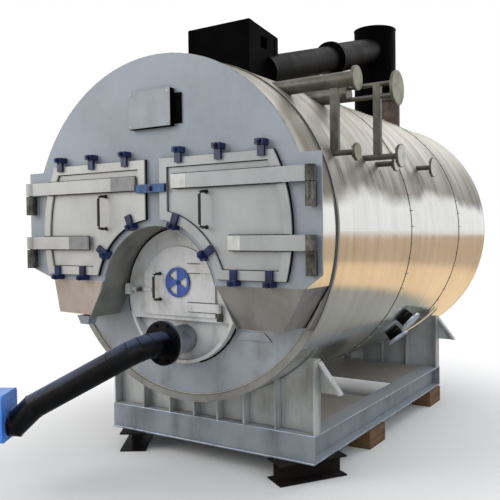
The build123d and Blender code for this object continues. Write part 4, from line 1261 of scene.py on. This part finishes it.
@dataclass
class AirSupply:
    """Dressing of the air elbow and of the falling duct.

    Args:
        z: Level of the flange's middle.
        flange_front: Front of the black flange.
        flange_back: Back of the grey one.
        bolt_circle: Radius of their bolt circle.
        radius: Outside of the duct.
        corner_y: Where the axes of flange and duct meet.
        tangent: From that corner to each end of the elbow's curve.
        cuts: Segments of the elbow.
        seam: From the corner to the seam where the straight duct starts.
        heading: Degrees by which the duct turns forward from straight left.
        run: From the corner to the foot bend.
        fall: Degrees by which the run falls.
        drop: Length of the steeper foot.
        drop_fall: Degrees by which it falls.
    """

    z: float = -785.0
    flange_front: float = -303.3
    flange_back: float = -267.0
    bolt_circle: float = 134.0
    radius: float = 86.0
    corner_y: float = -533.0
    tangent: float = 110.0
    cuts: int = 3
    seam: float = 220.0
    heading: float = 31.0
    run: float = 840.0
    fall: float = 28.2
    drop: float = 170.0
    drop_fall: float = 44.0

    def ahead(self, fall: float) -> Vector:
        """Direction of the duct at a fall in degrees."""
        turn, dip = math.radians(self.heading), math.radians(fall)
        return Vector((-math.cos(turn) * math.cos(dip), -math.sin(turn) * math.cos(dip), -math.sin(dip)))

    def seams(self) -> list[tuple[Vector, Vector, Vector]]:
        """Find the welded seams of the segmented elbow and of the duct.

        Returns:
            Centre, run direction and cut normal of every seam, in millimetres.
        """
        along, steep = self.ahead(self.fall), self.ahead(self.drop_fall)
        corner = Vector((0, self.corner_y, self.z))
        bend = FORWARD.angle(along)
        radius = self.tangent / math.tan(bend / 2)
        start = corner - FORWARD * self.tangent
        centre = start + (along - FORWARD * FORWARD.dot(along)).normalized() * radius
        side = (start - centre).normalized()
        step = bend / self.cuts
        points = []
        for k in range(self.cuts):
            angle = step * (k + 0.5)
            spoke = side * math.cos(angle) + FORWARD * math.sin(angle)
            points.append(centre + spoke * radius / math.cos(step / 2))
        points.append(corner + along * self.seam)
        result = []
        before = FORWARD
        for here, after in zip(points, points[1:]):
            direction = (after - here).normalized()
            result.append((here, before, before + direction))
            before = direction
        foot = corner + along * self.run
        result.append((points[-1], along, along))
        result.append((foot, along, along + steep))
        result.append((foot + steep * self.drop, steep, steep + self.ahead(0.0)))
        return result

    def flange(self) -> None:
        """Bolt heads on the black flange and nuts behind the grey one."""
        for name, y, way, finish, slot in (
                ("air_flange_bolts", self.flange_front, FORWARD, BLACK_PAINT, "black_steel"),
                ("air_flange_nuts", self.flange_back, BACKWARD, PLATE_PAINT, "flange_rim")):
            bolts = Fasteners(24.0, 12.0, 16.0, 6.0)
            bolts.ring(at(0, y, self.z), self.bolt_circle, 8, way)
            bolts.build(name, finish, "boiler", slot)

    def build(self) -> None:
        """Bolts of the flange and the weld seams of the duct."""
        self.flange()
        forge = Forge()
        for index, (centre, along, normal) in enumerate(self.seams()):
            side = along.cross(UPWARD).normalized()
            up = side.cross(along)
            ring = []
            for c, s in spokes(56, 0.0):
                spoke = (side * c + up * s) * self.radius
                ring.append(at(*(centre + spoke - along * spoke.dot(normal) / along.dot(normal))))
            forge.tube(ring, 3.2, closed=True, wobble=0.2, seed=40 + index)
        forge.finish("air_duct_seams", BLACK_PAINT, "boiler", "black_steel")


@dataclass
class FlueWork:
    """Dressing of the flue box, the rising duct and the stack.

    Args:
        x: Middle of all three.
        slope: Rise of the duct along its length.
        joint_y: Where its two flanges meet.
        joint_circle: Radius of their bolt circle.
        joint_half: From the joint to the outer face of a flange.
        start_y: Start of the duct's axis.
        start_z: Its level there.
        box_half: Half the width of the flue box.
        box_foot: Foot of the corner angles.
        box_ends: Place, way outwards and top of the angles for each end of the box.
        stack_y: Middle of the stack.
        stack_radius: Its outside.
    """

    x: float = 240.0
    slope: float = 0.29
    joint_y: float = 1985.0
    joint_circle: float = 152.0
    joint_half: float = 17.1
    start_y: float = 742.0
    start_z: float = 1305.0
    box_half: float = 293.0
    box_foot: float = 1215.0
    box_ends: tuple[tuple[float, int, float], ...] = ((440.0, -1, 1648.0), (870.0, 1, 1594.0))
    stack_y: float = 3110.0
    stack_radius: float = 225.0

    def corner_angles(self) -> None:
        """Steel angles up the four corners of the flue box."""
        leg, wall, gap = 42.0, 4.0, 0.2
        forge = Forge()
        for side in (-1, 1):
            x = side * self.box_half
            for y, back, top in self.box_ends:
                corners = [(x + side * wall, y + back * wall), (x - side * leg, y + back * wall),
                           (x - side * leg, y + back * gap), (x + side * gap, y + back * gap),
                           (x + side * gap, y - back * leg), (x + side * wall, y - back * leg)]
                forge.skin([[at(cx, cy, z) for cx, cy in corners] for z in (self.box_foot, top)])
        forge.finish("flue_box_corner_angles", FLUE_PAINT, "boiler", "black_steel", smooth=False)

    def joint_bolts(self) -> None:
        """Bolts through both flanges of the rising duct's joint."""
        along = Vector((0.0, 1.0, self.slope)).normalized()
        middle = at(self.x, self.joint_y, self.start_z + self.slope * (self.joint_y - self.start_y))
        bolts = Fasteners(20.0, 10.0, 13.0, 5.0)
        for way in (-1, 1):
            bolts.ring(middle + along * (way * self.joint_half / 1000.0), self.joint_circle, 12, along * way,
                       (RIGHTWARD, RIGHTWARD.cross(along)))
        bolts.build("flue_joint_bolts", FLUE_PAINT, "boiler", "black_steel")

    def stack_rings(self) -> None:
        """Rolled rim on top of the stack and a weld at its foot."""
        forge = Forge()
        for z, radius, sides, wobble in ((2204.6, 5.0, 8, 0.0), (1735.0, 3.0, 6, 0.15)):
            ring = [at(self.x + self.stack_radius * c, self.stack_y + self.stack_radius * s, z)
                    for c, s in spokes(64, 0.0)]
            forge.tube(ring, radius, sides=sides, closed=True, wobble=wobble)
        forge.finish("stack_rim", FLUE_PAINT, "boiler", "black_steel")

    def build(self) -> None:
        """Make every piece of the flue."""
        self.corner_angles()
        self.joint_bolts()
        self.stack_rings()


@dataclass
class Cladding:
    """Screws, lap seams and sealant of the aluminium cladding, and the bolts of its rear cover.

    Args:
        bands: Middle of the seam bands.
        band_half: Half their width.
        band_radius: Their outside.
        ends: Place and radius of the bead at each end of the shell.
        lap_angle: Where the laps of the front and the rear ring lie, in degrees from level.
        lap_half: Half the width of a lap in degrees.
        strips: Front, back, radius and angle of each lap.
        cover_back: Back of the rear cover.
        cover_circle: Radius of its bolt circle.
        lap_screws: First screw along the front lap, the distance between two, and their number.
    """

    bands: tuple[float, float] = (1410.0, 2792.0)
    band_half: float = 22.0
    band_radius: float = 1254.0
    ends: tuple[tuple[float, float], ...] = ((6.0, SHELL_RADIUS), (3826.0, REAR_RADIUS))
    lap_angle: float = 118.0
    lap_half: float = 1.4
    strips: tuple[tuple[float, float, float, float], ...] = (
        (12.0, 1384.0, SHELL_RADIUS, lap_angle), (1436.0, 2766.0, SHELL_RADIUS, 180.0 - lap_angle),
        (2818.0, 3820.0, REAR_RADIUS, lap_angle))
    cover_back: float = 3878.0
    cover_circle: float = 300.0
    lap_screws: tuple[float, float, int] = (70.0, 64.0, 20)

    def screws(self) -> None:
        """Self-tapping screws round the bands and along the front ring's lap."""
        screws = Fasteners(9.0, 2.4, 0.0, 0.3, 8)
        for y in self.bands:
            for c, s in spokes(60, 0.25):
                for aside in (-15.0, 15.0):
                    screws.put(at(self.band_radius * c, y + aside, self.band_radius * s), Vector((c, 0.0, s)))
        lap, reach = math.radians(self.lap_angle), SHELL_RADIUS + 1.5
        out = Vector((math.cos(lap), 0.0, math.sin(lap)))
        first, step, count = self.lap_screws
        for k in range(count):
            screws.put(at(reach * out.x, first + step * k, reach * out.z), out)
        screws.build("cladding_screws", SHEET_SCREW, "boiler", "cladding")

    def laps(self) -> None:
        """Rolled bead at both ends of the cladding, and one lap along each ring."""
        forge = Forge()
        for y, radius in self.ends:
            forge.tube(circle(radius - 1.6, y, 180), 3.8, closed=True)
        for front, back, radius, angle in self.strips:
            low, high = angle - self.lap_half, angle + self.lap_half
            forge.plate(arc(radius + 1.4, low, high, 5) + arc(radius - 0.6, high, low, 5), front, back)
        forge.finish("cladding_laps", BAND_SHEET, "boiler", "cladding")

    def sealant(self) -> None:
        """Dark beads along the band edges and both edges of the rim flange."""
        reach = self.band_half + 1.5
        joints = [(y + side * reach, SHELL_RADIUS + 0.4) for y in self.bands for side in (-1, 1)]
        joints += [(-1.0, SHELL_RADIUS + 0.6), (-22.5, SHELL_RADIUS - 1.0)]
        forge = Forge()
        for index, (y, radius) in enumerate(joints):
            forge.tube(circle(radius, y, 200), 2.4, closed=True, wobble=0.15, seed=60 + index)
        forge.finish("cladding_sealant", JOINT_SEALANT, "boiler", "cladding")

    def build(self) -> None:
        """Make every piece of the cladding."""
        self.screws()
        self.laps()
        self.sealant()
        cover = Fasteners(24.0, 12.0, 16.0, 6.0)
        cover.ring(at(0, self.cover_back, 0), self.cover_circle, 12, BACKWARD)
        cover.build("rear_cover_bolts", BRIGHT_FASTENER, "boiler", "cladding")


@dataclass
class Nozzles:
    """Blank faces, bolts, hand-hole covers and water marks of the nozzles.

    Args:
        faces: X, Y and Z of each blank face, with its radius and its number of bolts.
        flange: From a face to the back of its flange.
        steam: Where the bolts of the steam outlet stand.
        steam_circle: Radius of their circle.
        holes: Where each hand hole lies in Y, and by how many degrees it looks down.
        cover_radius: Outside of a hand hole's cap.
        neck_radius: Outside of its neck.
        runs: Where each group of water marks starts in Y and Z, and its length.
    """

    faces: tuple[tuple[float, ...], ...] = (
        (1318.0, 150.0, 1005.0, 82.0, 4), (1318.0, 150.0, 522.0, 59.0, 4), (1393.0, 695.0, 1024.0, 124.0, 8),
        (1418.0, 695.0, 537.0, 84.0, 4), (1300.0, 913.0, 508.0, 60.0, 4), (1272.0, 1906.0, 553.0, 86.0, 4),
    )
    flange: float = 18.0
    steam: tuple[float, float, float] = (505.0, 2890.0, 1385.0)
    steam_circle: float = 104.0
    holes: tuple[tuple[float, float], ...] = ((2028.0, 40.0), (2210.0, 51.5))
    cover_radius: float = 112.8
    neck_radius: float = 71.0
    runs: tuple[tuple[float, float, float], ...] = (
        (150.0, 500.0, 210.0), (695.0, 510.0, 240.0), (913.0, 485.0, 190.0), (1906.0, 525.0, 170.0))

    def blanks(self) -> None:
        """Raised joint faces, olive on the high and the front nozzles and pale on the rest, with bolts."""
        pale, olive = Forge(), Forge()
        bolts = Fasteners(16.0, 8.0, 11.0, 3.0)
        for x, y, z, radius, count in self.faces:
            forge = olive if z > 900.0 or y < 300.0 else pale
            forge.turned(puck(radius * 0.94, 2.6, radius * 0.92), at(x, y, z), RIGHTWARD, 32)
            bolts.ring(at(x - self.flange, y, z), radius * 0.74, count, -RIGHTWARD, ALONGSIDE)
        pale.finish("pale_flange_blanks", FLANGE_FACE, "boiler", "flange_rim")
        olive.finish("olive_flange_blanks", OLIVE_FACE, "boiler", "flange_rim")
        bolts.build("nozzle_bolts", NOZZLE_PAINT, "boiler", "flange_rim")
        steam = Fasteners(18.0, 9.0, 12.0, 4.0)
        steam.ring(at(*self.steam), self.steam_circle, 8, UPWARD, LEVEL)
        steam.build("steam_flange_bolts", RUST_PRIMER, "boiler", "dark_steel")

    def hand_holes(self) -> None:
        """Plated caps over the hand-hole covers, and the dark sealed joint round their necks."""
        caps, necks = Forge(), Forge()
        neck, cover = self.neck_radius, self.cover_radius
        cap = [(neck, 0.0), (cover, 0.0), (cover, 17.4), (0.0, 17.4)]
        joint = [(neck, 0.0), (neck, 57.0), (neck - 7.0, 57.0), (neck - 7.0, 0.0)]
        for y, fall in self.holes:
            out = Vector((math.cos(math.radians(fall)), 0.0, -math.sin(math.radians(fall))))
            for forge, profile, reach, sides in ((caps, cap, 59.3, 40), (necks, joint, 1.0, 32)):
                foot = SHELL_RADIUS + reach
                forge.turned(profile, at(foot * out.x, y, foot * out.z), out, sides)
        caps.finish("hand_hole_caps", COVER_FACE, "boiler", "flange_rim")
        necks.finish("hand_hole_joints", ROPE_AND_SHADE_BLACK, "boiler", "flange_rim")

    def stains(self) -> None:
        """Tapered runs of dried water that follow the shell down from the foot of each low nozzle."""
        forge = Forge()
        dice = random.Random(5)
        steps = 12
        over, under = SHELL_RADIUS + 0.5, SHELL_RADIUS - 0.4
        section = ((-1, over), (1, over), (1, under), (-1, under))
        for y, z, length in self.runs:
            for shift in (-20.0, 4.0, 24.0):
                start = math.degrees(math.asin(z / SHELL_RADIUS)) - dice.uniform(0.3, 1.4)
                stop = start - math.degrees(length * dice.uniform(0.45, 1.0) / SHELL_RADIUS)
                width = dice.uniform(4.0, 9.0)
                rows = []
                for k, (c, s) in enumerate(arc(1.0, start, stop, steps)):
                    half = width * (1.0 - 0.85 * (k / steps) ** 1.5) * dice.uniform(0.85, 1.15)
                    rows.append([at(radius * c, y + shift + side * half, radius * s)
                                 for side, radius in section])
                forge.skin(rows)
        forge.finish("nozzle_water_stains", WATER_STAIN, "boiler", "cladding")

    def build(self) -> None:
        """Make every piece of the nozzles."""
        self.blanks()
        self.hand_holes()
        self.stains()


@dataclass
class Skid:
    """Weld beads of the saddles, and painted highlights along the edges of the skid.

    Args:
        saddles: Face of each saddle that carries the ribs.
        ribs: Middle of the ribs in X.
        rib_foot: Where they stand.
        rib_rise: Least depth under the shell axis at which a rib ends.
        side_x: Outer edge of the skid.
        front_toe: Front edge of the lower flange.
        front_web: Front edge of the upper flange.
        beams: Front and back end of the side beams.
        flange_top: Upper flange.
        flange_foot: Lower flange.
    """

    saddles: tuple[float, float] = (283.0, 3056.0)
    ribs: tuple[float, ...] = (-949.0, -630.0, -355.0, -112.0, 112.0, 355.0, 630.0, 949.0)
    rib_foot: float = -1438.0
    rib_rise: float = 905.0
    side_x: float = 958.0
    front_toe: float = 181.0
    front_web: float = 196.0
    beams: tuple[float, float] = (205.0, 3068.0)
    flange_top: float = -1441.0
    flange_foot: float = -1630.0

    def saddle_welds(self) -> None:
        """Beads up both sides of the ribs and round the shell on the saddle plates."""
        forge = Forge()
        for y in self.saddles:
            for x in self.ribs:
                top = -math.sqrt(max(1252.0 ** 2 - x ** 2, self.rib_rise ** 2)) - 12.0
                count = max(4, int((top - self.rib_foot + 2.0) / 20.0))
                for side in (-6.5, 6.5):
                    path = straight(at(x + side, y, self.rib_foot), at(x + side, y, top), count)
                    forge.tube(path, 4.0, sides=5, wobble=0.25, seed=int(x) + 7)
            forge.tube(across(y - 2.0, arc(1254.0, 221.5, 318.5, 120)), 5.0, wobble=0.22, seed=23)
        forge.finish("saddle_welds", SKID_PAINT, "boiler", "skid_paint")

    def edge_highlights(self) -> None:
        """Pale lines along the edges of the flanges: painted highlights."""
        forge = Forge()
        front, back = self.beams
        runs = [((-self.side_x, y, z), (self.side_x, y, z))
                for y, z in ((self.front_toe, self.flange_foot), (self.front_web, self.flange_top))]
        runs += [((x, front, z), (x, back, z)) for x in (-self.side_x, self.side_x)
                 for z in (self.flange_top, self.flange_foot)]
        for number, (start, stop) in enumerate(runs):
            begin, end = at(*start), at(*stop)
            path = straight(begin, end, int((end - begin).length / 0.06))
            forge.tube(path, 2.8, wobble=0.3, seed=40 + number)
        forge.finish("skid_edge_highlights", EDGE_HIGHLIGHT, "boiler", "skid_paint")

    def build(self) -> None:
        """Make every piece of the skid."""
        self.saddle_welds()
        self.edge_highlights()


@dataclass
class Studio:
    """Floor, backdrop, lamps and camera.

    Args:
        eye: Place of the camera.
        yaw: Its turn to the left in degrees.
        pitch: Its tilt upwards.
        roll: Its roll in degrees.
        lens: Its focal length in millimetres.
        sky: Strength of the sky.
        floor_half: Half the side of the floor in metres.
        bare: Near floor in the light that it throws back on the boiler.
        shaded_near_floor: Near floor in what mirrors it, a darker grey as painted shade.
        shaded_yard: Nearest part of the yard in what mirrors it, grey as painted shade.
        sunlit: Middle of the yard.
        distant: Far end of the yard.
    """

    eye: tuple[float, float, float] = (3112.0, -3981.0, 1.0)
    yaw: float = 32.651
    pitch: float = -1.532
    roll: float = -0.6275
    lens: float = 48.50
    sky: float = 0.6
    floor_half: float = 60.0
    bare: str = "#E4E2DF"
    shaded_near_floor: str = "#BBB9B2"
    shaded_yard: str = "#A5A59E"
    sunlit: str = "#FFDDB2"
    distant: str = "#CDB395"

    def camera(self) -> None:
        """Camera where the photograph was taken from."""
        yaw, pitch, roll = (math.radians(v) for v in (self.yaw, self.pitch, self.roll))
        ahead = Vector((-math.sin(yaw) * math.cos(pitch), math.cos(yaw) * math.cos(pitch), math.sin(pitch)))
        right = Vector((math.cos(yaw), math.sin(yaw), 0.0))
        up = right.cross(ahead)
        turned_right = right * math.cos(roll) + up * math.sin(roll)
        turned_up = up * math.cos(roll) - right * math.sin(roll)
        data = bpy.data.cameras.new("camera")
        data.lens = self.lens
        data.sensor_width = 36.0
        data.clip_end = 200.0
        view = bpy.data.objects.new("camera", data)
        bpy.context.scene.collection.objects.link(view)
        turn = Matrix((turned_right, turned_up, -ahead)).transposed().to_4x4()
        view.matrix_world = Matrix.Translation(at(*self.eye)) @ turn
        bpy.context.scene.camera = view

    def seen(self, tree: bpy.types.NodeTree) -> tuple[bpy.types.Node, bpy.types.NodeSocket]:
        """Rays that look at the backdrop, and those of them that come from the camera.

        Args:
            tree: Material or world tree.

        Returns:
            A node that gives 1 for camera, gloss and transmission rays, and a socket that is 1 for the
            camera rays.
        """
        path = add(tree, "ShaderNodeLightPath").outputs
        seen = path["Is Camera Ray"]
        for ray in ("Is Glossy Ray", "Is Transmission Ray"):
            seen = add(tree, "ShaderNodeMath", {0: seen, 1: path[ray]}, operation="MAXIMUM")
        return seen, path["Is Camera Ray"]

    def world(self) -> None:
        """Soft even sky, white behind the object."""
        world = bpy.data.worlds.new("studio")
        bpy.context.scene.world = world
        world.use_nodes = True
        tree = world.node_tree
        tree.nodes.clear()
        soft = add(tree, "ShaderNodeBackground", {"Color": linear("#E9EDF2"), "Strength": self.sky})
        white = add(tree, "ShaderNodeBackground", {"Color": linear("#FFFFFF"), "Strength": 1.0})
        mixed = add(tree, "ShaderNodeMixShader", {0: self.seen(tree)[0], 1: soft, 2: white})
        add(tree, "ShaderNodeOutputWorld", {"Surface": mixed})

    def floor(self) -> None:
        """Plain floor that keeps the shadow, white to the camera further off, and to gloss rays a glowing yard
        with painted shade near the boiler and a painted sunlit band.
        """
        size = self.floor_half
        mesh = bpy.data.meshes.new("floor")
        mesh.from_pydata([(x, y, 0.0) for x, y in rectangle(-size, size, -size, size)], [], [(0, 1, 2, 3)])
        floor = bpy.data.objects.new("floor", mesh)
        bpy.context.scene.collection.objects.link(floor)
        material = bpy.data.materials.new("pale_floor")
        material.use_nodes = True
        tree = material.node_tree
        tree.nodes.clear()
        seen, camera = self.seen(tree)
        plan = add(tree, "ShaderNodeMapping", {"Vector": add(tree, "ShaderNodeTexCoord").outputs["Object"],
                                               "Scale": (1.0, 0.75, 1.0)})
        away = add(tree, "ShaderNodeVectorMath", {0: plan}, operation="LENGTH").outputs["Value"]
        far = add(tree, "ShaderNodeMapRange", {0: away, 1: 1.7, 2: 3.3, 3: 0.0, 4: 1.0},
                  interpolation_type="SMOOTHSTEP")
        share = add(tree, "ShaderNodeMath", {0: far, 1: seen}, operation="MULTIPLY")
        bounced = add(tree, "ShaderNodeMix", {0: seen, 6: linear(self.bare), 7: linear(self.shaded_near_floor)},
                      data_type="RGBA")
        near_colour = add(tree, "ShaderNodeMix", {0: camera, 6: bounced.outputs[2], 7: linear("#FCFCFB")},
                          data_type="RGBA")
        # Yard that gloss rays see, glowing: grey as painted shade near the boiler, a painted sunlit band, tan
        # far off.
        reach = add(tree, "ShaderNodeMath", {0: away, 1: 0.1}, operation="MULTIPLY")
        yard = add(tree, "ShaderNodeValToRGB", {"Fac": reach})
        stops = yard.color_ramp.elements
        stops[0].position, stops[0].color = 0.31, linear(self.shaded_yard)
        stops[1].position, stops[1].color = 0.74, linear(self.distant)
        for position in (0.37, 0.6):
            stops.new(position).color = linear(self.sunlit)
        far_colour = add(tree, "ShaderNodeMix", {0: camera, 6: yard, 7: linear("#FFFFFF")}, data_type="RGBA")
        matte = add(tree, "ShaderNodeBsdfPrincipled", {"Base Color": near_colour.outputs[2],
                                                       "Roughness": 0.9})
        glow = add(tree, "ShaderNodeEmission", {"Color": far_colour.outputs[2], "Strength": 1.0})
        mixed = add(tree, "ShaderNodeMixShader", {0: share, 1: matte, 2: glow})
        add(tree, "ShaderNodeOutputMaterial", {"Surface": mixed})
        mesh.materials.append(material)

    def lamp(self, name: str, place: Vector, size: float, power: float, colour: str) -> None:
        """Add a square area lamp that looks at the middle of the boiler.

        Args:
            name: Lamp name.
            place: Where it hangs.
            size: Side in metres.
            power: Watts.
            colour: Light colour.
        """
        data = bpy.data.lights.new(name, "AREA")
        data.size = size
        data.energy = power
        data.color = linear(colour)[:3]
        light = bpy.data.objects.new(name, data)
        bpy.context.scene.collection.objects.link(light)
        light.location = place
        light.rotation_euler = (at(0, 900, 0) - place).to_track_quat("-Z", "Y").to_euler()

    def build(self) -> None:
        """Set the stage."""
        self.world()
        self.floor()
        self.lamp("key", at(-7500, -8500, 5200), 8.0, 680.0, "#FFFBF6")
        self.lamp("fill", at(8800, -4500, 4500), 8.0, 230.0, "#F2F5FF")
        self.lamp("back", at(2500, 9500, 6500), 7.0, 300.0, "#FFFFFF")
        self.camera()
        bpy.context.scene.view_settings.view_transform = "Standard"


NODE_FINISH = {
    "front_cladding": CLADDING_SHEET, "middle_cladding": CLADDING_SHEET, "rear_cladding": CLADDING_SHEET,
    "rear_end_plate": CLADDING_SHEET, "rear_access_cover": BAND_SHEET, "smoke_box_wrapper": CLADDING_SHEET,
    "front_tube_plate": PLATE_PAINT, "front_rim_flange": RIM_PAINT, "furnace_tube": SOOT_STEEL,
    "furnace_front": FURNACE_PAINT, "fire_door": FURNACE_PAINT, "fire_door_ironwork": FURNACE_PAINT,
    "damper_wheel": WHEEL_ENAMEL, "smoke_box_face": SMOKE_BOX_PAINT, "furnace_arch": ARCH_PAINT,
    "left_ash_hopper": WARM_LIT_HOPPER_PAINT, "right_ash_hopper": SHADED_HOPPER_PAINT,
    "left_door": LIT_DOOR_PAINT, "right_door": SHADED_DOOR_PAINT,
    "left_door_lining": REFRACTORY, "right_door_lining": REFRACTORY,
    "left_door_ironwork": LIT_DOOR_PAINT, "right_door_ironwork": SHADED_DOOR_PAINT,
    "left_door_clamps": BLUE_ENAMEL, "right_door_clamps": BLUE_ENAMEL, "centre_clamp_block": BAR_ENAMEL,
    # The name plate's own box is black, so that its sides read as painted shade.
    "hinge_brackets": KNUCKLE_IRON, "name_plate": FLUE_PAINT, "air_spigot": SPIGOT_PAINT,
    "air_elbow": DUCT_PAINT, "air_duct": DUCT_PAINT, "air_duct_foot": DUCT_PAINT, "fan_collar": FAN_ENAMEL,
    "flue_box": FLUE_PAINT, "flue_duct": FLUE_DUCT_PAINT, "stack": FLUE_PAINT, "vent_nozzle": RUST_PRIMER,
    "gauge_nozzles": NOZZLE_PAINT, "side_nozzles": NOZZLE_PAINT,
    "skid_side_beams": SKID_PAINT, "skid_cross_beams": SKID_PAINT, "skid_decks": DECK_PAINT,
    "front_saddle": SADDLE_PAINT, "rear_saddle": SADDLE_PAINT,
    "steel_packing": PACKING_STEEL, "timber_packing": PACKING_TIMBER,
}


def dress_nodes() -> None:
    """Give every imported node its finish."""
    for name, node in NODES.items():
        material = NODE_FINISH[name].material()
        if node.material_slots:
            for place in node.material_slots:
                place.material = material
        else:
            node.data.materials.append(material)
        log.info("%s: %s", name, material.name)


def main() -> None:
    """Build the dressing piece by piece."""
    dress_nodes()
    for assembly in (
            SmokeBoxDoor(-1, "left_door", ((146.0, 372.0, 352.0), (613.0, 813.0, -68.0)), GREY_PAD),
            SmokeBoxDoor(1, "right_door", ((188.0, 317.0, 352.0), (650.0, 749.0, -68.0)), WHITE_PAINT_AND_HIGHLIGHT),
            SmokeBox(), FurnaceFront(), AirSupply(), FlueWork(), Cladding(), Nozzles(), Skid(), Studio()):
        assembly.build()
        log.info("%s done", type(assembly).__name__)


if __name__ == "__main__":
    main()
